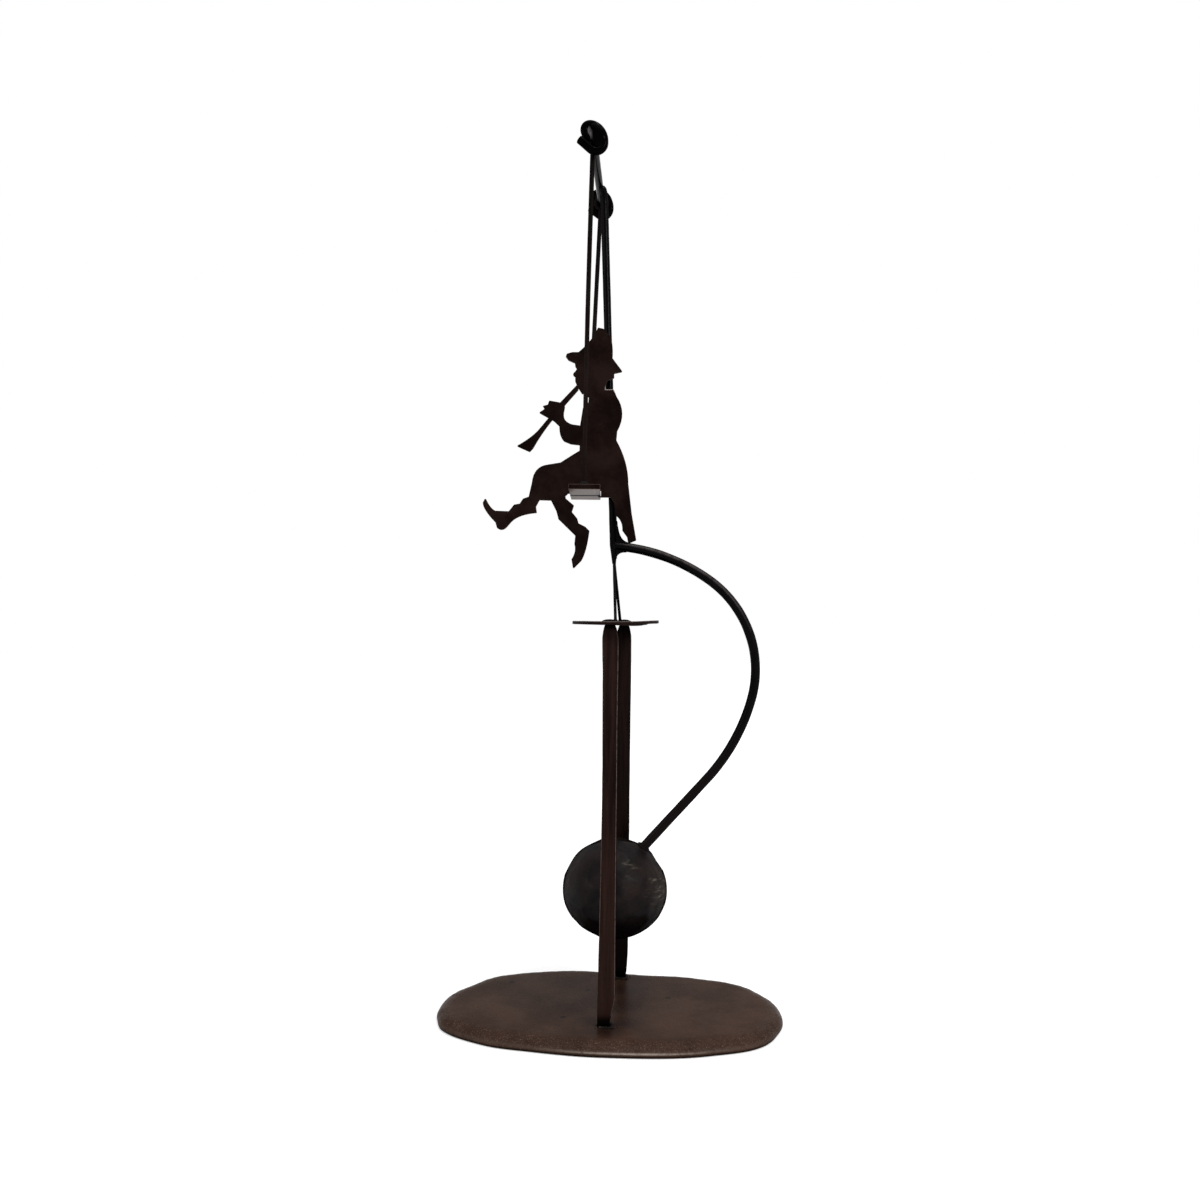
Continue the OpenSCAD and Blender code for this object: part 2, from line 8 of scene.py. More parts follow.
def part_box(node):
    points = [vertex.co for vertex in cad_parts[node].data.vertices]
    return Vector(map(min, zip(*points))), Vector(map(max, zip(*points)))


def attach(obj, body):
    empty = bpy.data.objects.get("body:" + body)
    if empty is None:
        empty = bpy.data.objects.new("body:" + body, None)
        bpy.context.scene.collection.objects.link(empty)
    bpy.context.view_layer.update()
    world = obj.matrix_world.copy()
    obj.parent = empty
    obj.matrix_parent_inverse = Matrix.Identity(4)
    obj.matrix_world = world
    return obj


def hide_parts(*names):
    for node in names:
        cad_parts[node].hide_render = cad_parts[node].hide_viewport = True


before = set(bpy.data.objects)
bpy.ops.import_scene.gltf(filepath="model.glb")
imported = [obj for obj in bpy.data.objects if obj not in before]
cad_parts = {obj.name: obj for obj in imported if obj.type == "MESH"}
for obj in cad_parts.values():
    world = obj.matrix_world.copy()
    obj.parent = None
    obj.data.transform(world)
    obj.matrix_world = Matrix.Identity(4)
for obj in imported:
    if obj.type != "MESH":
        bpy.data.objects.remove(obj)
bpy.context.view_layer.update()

# Base plate: an oval of thick steel plate with its edge forged to a round bevel over an upright lip.
# It is browned and waxed, smooth on top, speckled by the hammer on the bevel, and lies on its flat
# underside.
MM = 0.001
BASE_LENGTH, BASE_WIDTH, BASE_FULL, BASE_TOP = 222.0, 134.0, 2.2, 8.0
# Where the smith's outline leaves the oval: angle from the +X end, in degrees, and millimetres outward
BASE_STRAY = ((0, -0.6), (20, 0.6), (42, 4.6), (62, 2.6), (80, -0.4), (105, 5.6), (130, 5.6), (155, -1.0),
              (180, -0.5), (192, 0.2), (207, 2.2), (230, 0.3), (250, -2.2), (270, -1.2), (300, 0.8),
              (320, 3.2), (345, -0.8), (360, -0.6))
# Rings of the edge, from the underside up: inset, height, how rubbed bright, how hammered; the fully
# rubbed rings on the rim's upper rounding carry a painted highlight
BASE_EDGE = ((1.0, 0.0, 0.0, 0.2), (0.2, 0.5, 0.0, 0.3), (0.0, 1.2, 0.0, 0.4), (0.0, 2.2, 0.1, 0.5),
             (0.15, 2.6, 1.0, 0.5), (0.35, 3.0, 1.0, 0.6), (0.8, 3.6, 0.12, 0.9), (1.5, 4.5, 0.06, 1.0),
             (2.4, 5.4, 0.05, 1.0), (3.5, 6.2, 0.05, 1.0), (4.9, 6.95, 0.05, 1.0), (6.5, 7.5, 0.05, 0.9),
             (8.4, 7.85, 0.03, 0.6), (10.5, 8.0, 0.0, 0.25), (13.0, 8.0, 0.0, 0.0))
# Points round the outline, and rings over the top from the edge to the middle
BASE_POINTS, BASE_RINGS = 300, 20
# The hammer's marks on the bevel and the bevel's grain, then the swell of the whole plate: height and breadth
BASE_BLOWS, BASE_GRAIN, BASE_SWELL = (0.2, 6.5), (0.1, 2.2), (0.12, 34)
# The rim's painted highlight lies toward the front, about this angle and over this spread, in degrees
RIM_HIGHLIGHT_ANGLE, RIM_HIGHLIGHT_SPREAD = 279.0, 17.0
# Pits in the plate's skin, and the distances in metres between which each fades out
BASE_PITS = ((-68.4, 36.8), (-15.6, 25.3), (37.7, 14.4), (-28.1, -24.2))
PIT_FADE = (0.0009, 0.0026)
# Painted dark reflections and shade of the parts above the plate: middle, reach and how dark
BASE_DARK_REFLECTIONS = ((10.0, -32.0, 20.0, 0.7), (8.0, -8.0, 24.0, 0.6), (0.0, -47.0, 15.0, 0.8),
             (10.0, 28.0, 24.0, 0.65), (16.0, 48.0, 16.0, 0.5), (-22.0, 40.0, 26.0, 0.3),
             (-60.0, 10.0, 24.0, 0.2))
BASE_BEVEL, BASE_SPECK = (0.016, 0.0062, 0.004), (0.18, 0.125, 0.1)
BASE_REFLECTED_DARK, BASE_PITTED, BASE_SHEEN = (0.009, 0.0045, 0.0042), (0.004, 0.003, 0.003), 0.011
# Painted shade on the lip: two heights in metres, how strong it is at each, and its colour
BASE_LIP_SHADE = ((0.0008, 0.0022, 0.8, 0.0), (0.004, 0.0022, 0.0017))


def stray_at(table, degrees):
    """Smooth value between the two entries of a table on each side of an angle."""
    for (a, u), (b, v) in zip(table, table[1:]):
        if a <= degrees <= b:
            share = (1 - math.cos(math.pi * (degrees - a) / (b - a))) / 2
            return u + (v - u) * share
    return 0.0


def base_rim(turn, inset):
    """Point on the base's outline, drawn in by inset."""
    c, s = math.cos(turn), math.sin(turn)
    out = stray_at(BASE_STRAY, math.degrees(turn) % 360) - inset
    x = math.copysign(abs(c) ** (2 / BASE_FULL), c) * BASE_LENGTH / 2
    y = math.copysign(abs(s) ** (2 / BASE_FULL), s) * BASE_WIDTH / 2
    return Vector((x + out * c, y + out * s, 0))


def raise_ring(bm, ring, edges):
    """Extrudes a loop of edges. ring maps each vertex of the loop to its own mark, which its copy keeps."""
    made = bmesh.ops.extrude_edge_only(bm, edges=edges)["geom"]
    fresh = {v for v in made if isinstance(v, bmesh.types.BMVert)}
    above = {}
    for v in fresh:
        for e in v.link_edges:
            if e.other_vert(v) in ring:
                above[v] = ring[e.other_vert(v)]
    loop = [e for e in made if isinstance(e, bmesh.types.BMEdge) and all(v in fresh for v in e.verts)]
    return above, loop


def skin(bm, height):
    """Moves each vertex along its normal by height(vertex), in millimetres."""
    bm.normal_update()
    for v, move in [(v, v.normal * height(v)) for v in bm.verts]:
        v.co += move


def rough(place, height, breadth):
    """Soft unevenness of a given height and breadth."""
    return height * noise.noise(place / breadth)


def dimples(place, depth, size):
    """Hammer marks: as deep as depth in the middle of a blow, and level between blows."""
    near = noise.voronoi(place / size)[0][0]
    return depth * min(0.0, (near / 0.62) ** 2 - 1)


def add_piece(bm, name, finish, body, nodes):
    """Turns a shape in millimetres into a piece of the toy that stands for its solids."""
    bmesh.ops.recalc_face_normals(bm, faces=bm.faces)
    bmesh.ops.scale(bm, vec=(MM, MM, MM), verts=bm.verts)
    mesh = bpy.data.meshes.new(name)
    bm.to_mesh(mesh)
    bm.free()
    mesh.materials.append(finish)
    piece = bpy.data.objects.new(name, mesh)
    bpy.context.scene.collection.objects.link(piece)
    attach(piece, body)
    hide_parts(*nodes)
    return piece


def smooth_all(bm):
    for f in bm.faces:
        f.smooth = True


def shader_group(name, inputs, outputs):
    """Empty node group with named sockets, and its two ends."""
    group = bpy.data.node_groups.new(name, "ShaderNodeTree")
    for label, kind, value in inputs:
        group.interface.new_socket(label, in_out="INPUT", socket_type=kind).default_value = value
    for label, kind in outputs:
        group.interface.new_socket(label, in_out="OUTPUT", socket_type=kind)
    return group, group.nodes.new("NodeGroupInput"), group.nodes.new("NodeGroupOutput")


def feed(tree, socket, value):
    """Gives an input another node's output, a fixed colour or a number."""
    if isinstance(value, bpy.types.NodeSocket):
        tree.links.new(value, socket)
    elif isinstance(value, tuple):
        socket.default_value = (*value, 1)
    else:
        socket.default_value = value


def math_node(tree, work, *values):
    node = tree.nodes.new("ShaderNodeMath")
    node.operation = work
    for socket, value in zip(node.inputs, values):
        feed(tree, socket, value)
    return node.outputs[0]


def ramp_node(tree, value, low, high, to_low=0.0, to_high=1.0):
    """Smooth ramp of a value between two limits."""
    node = tree.nodes.new("ShaderNodeMapRange")
    node.interpolation_type = "SMOOTHSTEP"
    tree.links.new(value, node.inputs["Value"])
    for label, number in (("From Min", low), ("From Max", high), ("To Min", to_low), ("To Max", to_high)):
        node.inputs[label].default_value = number
    return node.outputs["Result"]


def noise_node(tree, vector, scale, detail, roughness):
    node = tree.nodes.new("ShaderNodeTexNoise")
    for label, value in (("Vector", vector), ("Scale", scale), ("Detail", detail), ("Roughness", roughness)):
        feed(tree, node.inputs[label], value)
    return node.outputs["Fac"]


def mix_node(tree, factor, a, b):
    """Mix of two colours, each a socket or a fixed colour."""
    node = tree.nodes.new("ShaderNodeMix")
    node.data_type = "RGBA"
    tree.links.new(factor, node.inputs[0])
    feed(tree, node.inputs[6], a)
    feed(tree, node.inputs[7], b)
    return node.outputs[2]


def place_node(tree):
    """Place on the piece, in the frame's metres."""
    return tree.nodes.new("ShaderNodeTexCoord").outputs["Object"]


def apart_node(tree):
    """X, Y and Z of the place on the piece."""
    node = tree.nodes.new("ShaderNodeSeparateXYZ")
    tree.links.new(place_node(tree), node.inputs[0])
    return node.outputs


def fade_node(tree, colour, levels, tint):
    """Colour that fades to a tint by height: levels are two heights in metres and its strength at each."""
    return mix_node(tree, ramp_node(tree, apart_node(tree)["Z"], *levels), colour, tint)


def away_node(tree, spot):
    """Distance from a spot that is given in millimetres."""
    node = tree.nodes.new("ShaderNodeVectorMath")
    node.operation = "DISTANCE"
    tree.links.new(place_node(tree), node.inputs[0])
    node.inputs[1].default_value = [c * MM for c in spot]
    return node.outputs["Value"]


def mark_node(tree, name):
    """The piece's own attribute of that name."""
    node = tree.nodes.new("ShaderNodeAttribute")
    node.attribute_name = name
    return node.outputs["Fac"]


def glance_node(tree):
    """How far the surface is turned from the eye, from 0 to 1."""
    return tree.nodes.new("ShaderNodeLayerWeight").outputs["Facing"]


# Clouds of lighter and darker patina, stretched along the way the metal was drawn
patina_clouds, ends_in, ends_out = shader_group(
    "Patina clouds",
    (("Ground", "NodeSocketColor", (0.02, 0.012, 0.01, 1)),
     ("Cloud", "NodeSocketColor", (0.05, 0.03, 0.02, 1)),
     ("Scale", "NodeSocketFloat", 30.0), ("Stretch", "NodeSocketVector", (1.0, 1.0, 1.0))),
    (("Color", "NodeSocketColor"),))
drawn = patina_clouds.nodes.new("ShaderNodeVectorMath")
drawn.operation = "MULTIPLY"
patina_clouds.links.new(place_node(patina_clouds), drawn.inputs[0])
patina_clouds.links.new(ends_in.outputs["Stretch"], drawn.inputs[1])
broad = noise_node(patina_clouds, drawn.outputs[0], ends_in.outputs["Scale"], 6.0, 0.62)
clouded = mix_node(patina_clouds, ramp_node(patina_clouds, broad, 0.34, 0.68),
                   ends_in.outputs["Ground"], ends_in.outputs["Cloud"])
patina_clouds.links.new(clouded, ends_out.inputs["Color"])

# Skin of forged steel: a fine scale that pits and speckles it
forged_skin, ends_in, ends_out = shader_group(
    "Forged skin",
    (("Scale", "NodeSocketFloat", 500.0),),
    (("Height", "NodeSocketFloat"), ("Speck", "NodeSocketFloat")))
places = place_node(forged_skin)
fine = noise_node(forged_skin, places, ends_in.outputs["Scale"], 4.0, 0.6)
scale_up = math_node(forged_skin, "MULTIPLY", ends_in.outputs["Scale"], 3.1)
finer = noise_node(forged_skin, places, scale_up, 2.0, 0.5)
forged_skin.links.new(math_node(forged_skin, "MULTIPLY_ADD", finer, 0.35, fine), ends_out.inputs["Height"])
forged_skin.links.new(ramp_node(forged_skin, finer, 0.56, 0.7), ends_out.inputs["Speck"])

# Edges that hands and cloths have rubbed bright, and painted highlights and glints, where the piece's own
# attribute marks them
rubbed_and_glint, ends_in, ends_out = shader_group(
    "Rubbed edge and painted glint",
    (("Scale", "NodeSocketFloat", 200.0), ("Wear", "NodeSocketFloat", 0.5)),
    (("Mask", "NodeSocketFloat"),))
broken = noise_node(rubbed_and_glint, place_node(rubbed_and_glint), ends_in.outputs["Scale"], 4.0, 0.65)
patchy = ramp_node(rubbed_and_glint, broken, 0.2, 0.55)
marked = math_node(rubbed_and_glint, "MULTIPLY", mark_node(rubbed_and_glint, "wear_and_glint"), patchy)
worn = math_node(rubbed_and_glint, "MULTIPLY", marked, ends_in.outputs["Wear"])
rubbed_and_glint.links.new(worn, ends_out.inputs["Mask"])


def place_group(tree, group, **values):
    node = tree.nodes.new("ShaderNodeGroup")
    node.node_tree, node.name = group, group.name
    for label, value in values.items():
        node.inputs[label].default_value = value
    return node


def steel_finish(name, ground, cloud, bare, clouds, pit, depth, gloss, specular, wear_and_glint_strength,
                 stretch=(1.0, 1.0, 1.0), matt=0.0):
    """Blackened or browned steel. ground and cloud are the two colours of its patina, and bare that of its
    rubbed edges and painted highlights; clouds and pit say how fine the patina and the skin are, and depth
    how rough the skin is, in millimetres; gloss is its least and greatest roughness, and wear how bright its
    edges are rubbed and highlit; stretch draws the clouds out, and matt is how far the sheen fades at a
    glancing look."""
    finish = bpy.data.materials.new(name)
    finish.use_nodes = True
    tree = finish.node_tree
    shader = tree.nodes["Principled BSDF"]
    patina = place_group(tree, patina_clouds, Ground=(*ground, 1), Cloud=(*cloud, 1), Scale=clouds,
                         Stretch=stretch)
    grain = place_group(tree, forged_skin, Scale=pit)
    edge = place_group(tree, rubbed_and_glint, Scale=260.0, Wear=wear_and_glint_strength)
    colour = mix_node(tree, edge.outputs["Mask"], patina.outputs["Color"], bare)
    tree.links.new(colour, shader.inputs["Base Color"])
    tree.links.new(ramp_node(tree, grain.outputs["Height"], 0.45, 0.9, *gloss), shader.inputs["Roughness"])
    relief = tree.nodes.new("ShaderNodeBump")
    relief.inputs["Strength"].default_value = 0.6
    relief.inputs["Distance"].default_value = depth * MM
    tree.links.new(grain.outputs["Height"], relief.inputs["Height"])
    tree.links.new(relief.outputs["Normal"], shader.inputs["Normal"])
    shader.inputs["Specular IOR Level"].default_value = specular
    if matt:
        sheen = ramp_node(tree, glance_node(tree), 0.25, 0.8, specular, specular * (1 - matt))
        tree.links.new(sheen, shader.inputs["Specular IOR Level"])
    return finish


def open_finish(finish):
    """A finish's node tree, its shader and the colour that reaches the shader."""
    shader = finish.node_tree.nodes["Principled BSDF"]
    return finish.node_tree, shader, shader.inputs["Base Color"].links[0].from_socket


base_steel = steel_finish(
    "base_browned_steel", ground=(0.032, 0.0145, 0.0088), cloud=(0.056, 0.0285, 0.0185),
    bare=(0.42, 0.35, 0.3), clouds=34.0, pit=620.0, depth=0.12, gloss=(0.24, 0.42), specular=BASE_SHEEN,
    wear_and_glint_strength=0.9)
tree, shader, colour = open_finish(base_steel)
hammered = mark_node(tree, "forge")
specks = math_node(tree, "MULTIPLY", tree.nodes["Forged skin"].outputs["Speck"], hammered)
colour = mix_node(tree, math_node(tree, "MULTIPLY", hammered, 0.4), colour, BASE_BEVEL)
colour = mix_node(tree, math_node(tree, "MULTIPLY", specks, 0.75), colour, BASE_SPECK)
# Painted dark reflections and shade of the parts above the plate, mostly round the posts' feet
for x, y, reach, dark in BASE_DARK_REFLECTIONS:
    reflected_dark = ramp_node(tree, away_node(tree, (x, y, BASE_TOP)), 0.0, reach * MM, dark, 0.0)
    colour = mix_node(tree, reflected_dark, colour, BASE_REFLECTED_DARK)
for x, y in BASE_PITS:
    pit = ramp_node(tree, away_node(tree, (x, y, BASE_TOP)), *PIT_FADE, 0.85, 0.0)
    colour = mix_node(tree, pit, colour, BASE_PITTED)
tree.links.new(fade_node(tree, colour, *BASE_LIP_SHADE), shader.inputs["Base Color"])
sheen = ramp_node(tree, glance_node(tree), 0.82, 0.96, BASE_SHEEN, 0.0)
tree.links.new(sheen, shader.inputs["Specular IOR Level"])

bm = bmesh.new()
wear_and_glint = bm.verts.layers.float.new("wear_and_glint")
forge = bm.verts.layers.float.new("forge")
ring = {v: math.atan2(v.co.y, v.co.x)
        for v in bmesh.ops.create_circle(bm, cap_ends=True, segments=BASE_POINTS, radius=1)["verts"]}
edges = bm.edges[:]
for step, (inset, z, worn, blows) in enumerate(BASE_EDGE):
    if step:
        ring, edges = raise_ring(bm, ring, edges)
    for v, turn in ring.items():
        v.co = base_rim(turn, inset)
        v.co.z = z
        # The rim's painted highlight: the fully rubbed rings are bright toward the front only
        front = math.exp(-((math.degrees(turn) % 360 - RIM_HIGHLIGHT_ANGLE) / RIM_HIGHLIGHT_SPREAD) ** 2)
        v[wear_and_glint], v[forge] = worn * (0.1 + 0.9 * front if worn > 0.5 else 1.0), blows
for step in range(1, BASE_RINGS):
    ring, edges = raise_ring(bm, ring, edges)
    for v, turn in ring.items():
        v.co = base_rim(turn, BASE_EDGE[-1][0]) * (1 - step / BASE_RINGS)
        v.co.z = BASE_TOP
bmesh.ops.edgeloop_fill(bm, edges=edges)
skin(bm, lambda v: 0.0 if v.co.z < 0.1 else
     v[forge] * (dimples(v.co, *BASE_BLOWS) + rough(v.co, *BASE_GRAIN)) + rough(v.co, *BASE_SWELL))
smooth_all(bm)
add_piece(bm, "base_oval", base_steel, "stand", ["base_plate"])

# Posts: two square bars, drawn down at both ends by the hammer, with a thin tenon at the top that is
# peened over the top plate. They are dark brown with their arrises rubbed bright, and a painted highlight
# along the arrises on the lit side.
LINE_Y = 7.5
POST_W, POST_END_W, POST_FOOT, POST_HEAD = 9.0, 7.0, 24.0, 10.0
# The rings of the bar, the width of its rounded arrises, and how far its head goes into the top plate
POST_CUTS, POST_ARRIS, POST_INTO_PLATE = 90, 0.4, 0.6
PLATE_TOP, PLATE_T = 254.376, 2.0
POST_PLACES = {"front": (-0.6, LINE_Y - 45.0), "rear": (5.4, LINE_Y + 45.0)}
# Each post's dark and light brown, and how far its arrises are rubbed bright and highlit; the rear one is
# painted blacker, as shade under the ball
POST_BROWN_AND_SHADE = {"front": ((0.0058, 0.0023, 0.0019), (0.0235, 0.0112, 0.0088)),
              "rear": ((0.0036, 0.0016, 0.0014), (0.0145, 0.0072, 0.0058))}
POST_WEAR_AND_GLINT = {"front": 0.75, "rear": 0.3}
# Fades by height, as on the base's lip: the lower part has painted light bounced from the base in front and
# painted shade under the ball behind; the toes darken toward the base, and the post tops under the plate and
# the peened heads are painted darker, as shade
POST_LOW_LIGHT_AND_SHADE = {"front": ((0.02, 0.14, 0.3, 0.0), (0.038, 0.018, 0.0125)),
            "rear": ((0.035, 0.09, 0.75, 0.0), (0.0016, 0.0007, 0.0006))}
POST_TOE_DARK = ((0.012, 0.0178, 0.95, 0.0), (0.0008, 0.0005, 0.0005))
POST_HEAD_SHADE = ((0.236, 0.2535, 0.0, 0.85), (0.0022, 0.001, 0.001))
# How much broader than stock each post is forged along X, at the head and at the foot, and its shift there
POST_SPREAD = {"front": (1.05, 1.6), "rear": (1.1, 0.4)}
POST_SHIFT = {"front": (0.28, -0.1), "rear": (-0.05, -0.05)}
# How far each post is hammered in on its left side about the middle of its height
POST_WAIST = {"front": 1.35, "rear": 0.0}
# The front post's toe is drawn in on its right side alone, this far and over this height
POST_TOE, POST_TOE_H = 3.5, 17.0
# How far the last of each end is pinched, and over what height: at the toe and at the tip
POST_PINCH, POST_TIP = (2.2, 7.0), (1.1, 9.0)
# Half breadths and half height of the peened heads
TENON_HEAD = (5.1, 4.6, 1.8)


def between(low, high, share):
    return low + (high - low) * share


for side, (x, y) in POST_PLACES.items():
    post_steel = steel_finish(
        side + "_post_brown", *POST_BROWN_AND_SHADE[side], bare=(0.13, 0.1, 0.085), clouds=240.0, pit=700.0, depth=0.1,
        gloss=(0.36, 0.55), specular=0.03, wear_and_glint_strength=POST_WEAR_AND_GLINT[side], stretch=(1.0, 1.0, 0.06), matt=1.0)
    tree, shader, colour = open_finish(post_steel)
    for fade in (POST_LOW_LIGHT_AND_SHADE[side], POST_TOE_DARK, POST_HEAD_SHADE):
        colour = fade_node(tree, colour, *fade)
    tree.links.new(colour, shader.inputs["Base Color"])
    bm = bmesh.new()
    wear_and_glint = bm.faces.layers.float.new("wear_and_glint")
    low, high = BASE_TOP, PLATE_TOP - PLATE_T + POST_INTO_PLATE
    bmesh.ops.create_cube(bm, size=1, matrix=Matrix.Translation((0, 0, (low + high) / 2))
                          @ Matrix.Diagonal((POST_W, POST_W, high - low, 1)))
    upright_edges = [e for e in bm.edges if abs(e.verts[0].co.z - e.verts[1].co.z) > 1]
    bmesh.ops.subdivide_edges(bm, edges=upright_edges, cuts=POST_CUTS, use_grid_fill=True)
    arrises = [e for e in bm.edges if abs(e.verts[0].co.z - e.verts[1].co.z) > 1
               and all(abs(abs(c) - POST_W / 2) < 0.01 for v in e.verts for c in v.co.xy)]
    rounded = bmesh.ops.bevel(bm, geom=arrises, offset=POST_ARRIS, offset_type="OFFSET", segments=3,
                              profile=0.5, affect="EDGES", material=-1)
    for f in rounded["faces"]:
        middle = f.calc_center_median()
        # The arrises on the lit side carry a painted highlight; the lower left ones and those near the foot
        # have none
        f[wear_and_glint] = 0.0 if middle.x < 0 and middle.z < 60 or middle.z < low + 8 else 1.0
    for v in bm.verts:
        up, down = v.co.z - low, high - v.co.z
        share = up / (high - low)
        drawn_down = math.sin(max(0.0, min(1.0, up / POST_FOOT, down / POST_HEAD)) * math.pi / 2) ** 0.8
        pinch = POST_PINCH[0] * max(0.0, 1 - up / POST_PINCH[1]) ** 2
        tip = POST_TIP[0] * max(0.0, 1 - down / POST_TIP[1]) ** 1.2
        k = (POST_END_W - pinch - tip + (POST_W - POST_END_W) * drawn_down) / POST_W
        waist = POST_WAIST[side] * math.sin(math.pi * min(1.0, max(0.0, share)) ** 1.3)
        sway = 0.22 * noise.noise(Vector((x, y, v.co.z / 45)))
        wide = between(POST_SPREAD[side][1], POST_SPREAD[side][0], share) - waist
        shift = between(POST_SHIFT[side][1], POST_SHIFT[side][0], share) + waist / 2
        v.co.y *= k
        if side == "front" and down >= POST_HEAD:
            drawn_in = POST_TOE * max(0.0, 1 - up / POST_TOE_H) ** 0.8
            v.co.x = v.co.x * (1 + (wide - drawn_in) / POST_W) - drawn_in / 2 + sway + shift
        else:
            v.co.x = v.co.x * (k + wide / POST_W * drawn_down) + (sway + shift) * drawn_down
    skin(bm, lambda v: rough(v.co, 0.09, 9) + rough(v.co, 0.05, 3.5))
    smooth_all(bm)
    head = bmesh.ops.create_icosphere(bm, subdivisions=4, radius=1)["verts"]
    for v in head:
        blow = noise.noise(v.co * 2.2 + Vector((x, y, 0)))
        v.co = Vector((v.co.x * (TENON_HEAD[0] + 0.35 * blow), v.co.y * (TENON_HEAD[1] - 0.3 * blow),
                       PLATE_TOP + v.co.z * (TENON_HEAD[2] + 0.15 * blow)))
    for f in {f for v in head for f in v.link_faces}:
        f.smooth, f[wear_and_glint] = True, 0.0
    bmesh.ops.translate(bm, vec=(x, y, 0), verts=bm.verts)
    add_piece(bm, side + "_square_post", post_steel, "stand", [side + "_post"])

# Foot welds: a rippled bead of weld round the foot of each post, on the base. It is left as it cooled,
# dark and sooty, with a bright corner in front and a few beads of spatter beside it.
weld_steel = steel_finish(
    "weld_grey_bead", ground=(0.0022, 0.0014, 0.0012), cloud=(0.0125, 0.0088, 0.0078), bare=(0.2, 0.17, 0.15),
    clouds=420.0, pit=900.0, depth=0.1, gloss=(0.3, 0.55), specular=0.05, wear_and_glint_strength=0.7)
# The bead's thickness and ripples, the beads of spatter, and the turn in radians from each to the next
FOOT_BEAD, FOOT_RIPPLES, FOOT_SPATTER, SPATTER_TURN = 1.2, 30, 14, 2.399


def bead_ring(bm, middle, radius, thick, ripples, square=False):
    """Ring of weld about Z, rippled along its run; square draws it out to fit a square bar."""
    on_edge = Matrix.Translation((radius, 0, 0)) @ Matrix.Rotation(math.pi / 2, 4, "X")
    loop = bmesh.ops.create_circle(bm, cap_ends=False, segments=14, radius=thick, matrix=on_edge)["verts"]
    edges = list({e for v in loop for e in v.link_edges})
    before = set(bm.verts)
    bmesh.ops.spin(bm, geom=edges, cent=(0, 0, 0), axis=(0, 0, 1), angle=2 * math.pi, steps=ripples * 8,
                   use_merge=True)
    for v in [v for v in bm.verts if v not in before] + loop:
        turn = math.atan2(v.co.y, v.co.x)
        c, s = math.cos(turn), math.sin(turn)
        out = math.hypot(v.co.x, v.co.y) - radius
        swell = 1 + 0.16 * math.cos(ripples * turn + 2.2 * noise.noise(middle + Vector((c, s, 0)) * 2))
        swell += 0.25 * noise.noise(middle + Vector((c, s, 0.3)) * 1.7)
        reach = radius * ((abs(c) ** 6 + abs(s) ** 6) ** (-1 / 6) if square else 1)
        v.co = middle + Vector((c * (reach + out * swell), s * (reach + out * swell), v.co.z * swell))


for side, (x, y) in POST_PLACES.items():
    bm = bmesh.new()
    wear_and_glint = bm.verts.layers.float.new("wear_and_glint")
    bead_ring(bm, Vector((x, y, BASE_TOP + 0.1)), POST_END_W / 2 + 0.1, FOOT_BEAD, FOOT_RIPPLES, square=True)
    for n in range(FOOT_SPATTER):
        turn = n * SPATTER_TURN + x
        away = 6.3 + 2.2 * abs(noise.noise(Vector((n * 1.7, x, y))))
        spot = Vector((x + away * math.cos(turn), y + away * math.sin(turn), BASE_TOP + 0.15))
        bmesh.ops.create_icosphere(bm, subdivisions=2, radius=0.28 + 0.25 * abs(noise.noise(spot * 3.1)),
                                   matrix=Matrix.Translation(spot))
    for v in bm.verts:
        corner = max(0.0, min(1.0, (x - v.co.x) / 5.0)) if side == "front" else 0.0
        v[wear_and_glint] = max(0.0, min(1.0, (v.co.z - BASE_TOP) / 1.6)) * (0.05 + 0.95 * corner ** 4)
    smooth_all(bm)
    add_piece(bm, side + "_foot_bead", weld_steel, "stand", [side + "_foot_weld"])

# Top plate: a thin oval of sheet, cut by hand and bridging the two posts, with a punched pocket near each
# end for the rocker's feet. Its cut edge is filed round, with a painted highlight along the top of it.
PLATE_X, PLATE_HALF_X, PLATE_HALF_Y = 1.2, 28, 54
# The rim's lift, how far the right side bends up and sags below, and the width filed off the edge
PLATE_LIFT, PLATE_BEND, PLATE_SAG, PLATE_FILED = 0.5, 0.9, 0.9, 0.45
sheet_steel = steel_finish(
    "sheet_brown_patina", ground=(0.0042, 0.0016, 0.0013), cloud=(0.0155, 0.008, 0.0065),
    bare=(0.3, 0.25, 0.22), clouds=44.0, pit=760.0, depth=0.09, gloss=(0.3, 0.5), specular=0.022, wear_and_glint_strength=1.0,
    matt=0.9)


def copy_of(node):
    """Copy of a solid in millimetres, with its loose triangles joined."""
    bm = bmesh.new()
    bm.from_mesh(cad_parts[node].data)
    bmesh.ops.scale(bm, vec=(1 / MM, 1 / MM, 1 / MM), verts=bm.verts)
    bmesh.ops.remove_doubles(bm, verts=bm.verts, dist=0.0005)
    bmesh.ops.dissolve_limit(bm, angle_limit=math.radians(0.5), verts=bm.verts, edges=bm.edges)
    return bm


def file_edges(bm, edges, width, worn):
    """Rounds sharp edges with a file and marks how far they are rubbed bright, a mark that also carries
    painted glints. Returns the mark.
    """
    wear_and_glint = bm.faces.layers.float.new("wear_and_glint")
    filed = bmesh.ops.bevel(bm, geom=edges, offset=width, offset_type="OFFSET", segments=2, profile=0.5,
                            affect="EDGES", material=-1, clamp_overlap=True)
    for f in filed["faces"]:
        f.smooth, f[wear_and_glint] = True, worn
    return wear_and_glint


bm = copy_of("top_plate")
outer = [e for e in bm.edges if len(e.link_faces) == 2 and e.calc_face_angle() > 0.9
         and all(((v.co.x - PLATE_X) / PLATE_HALF_X) ** 2 + ((v.co.y - LINE_Y) / PLATE_HALF_Y) ** 2 > 0.85
                 for v in e.verts)]
wear_and_glint = file_edges(bm, outer, PLATE_FILED, 0.0)
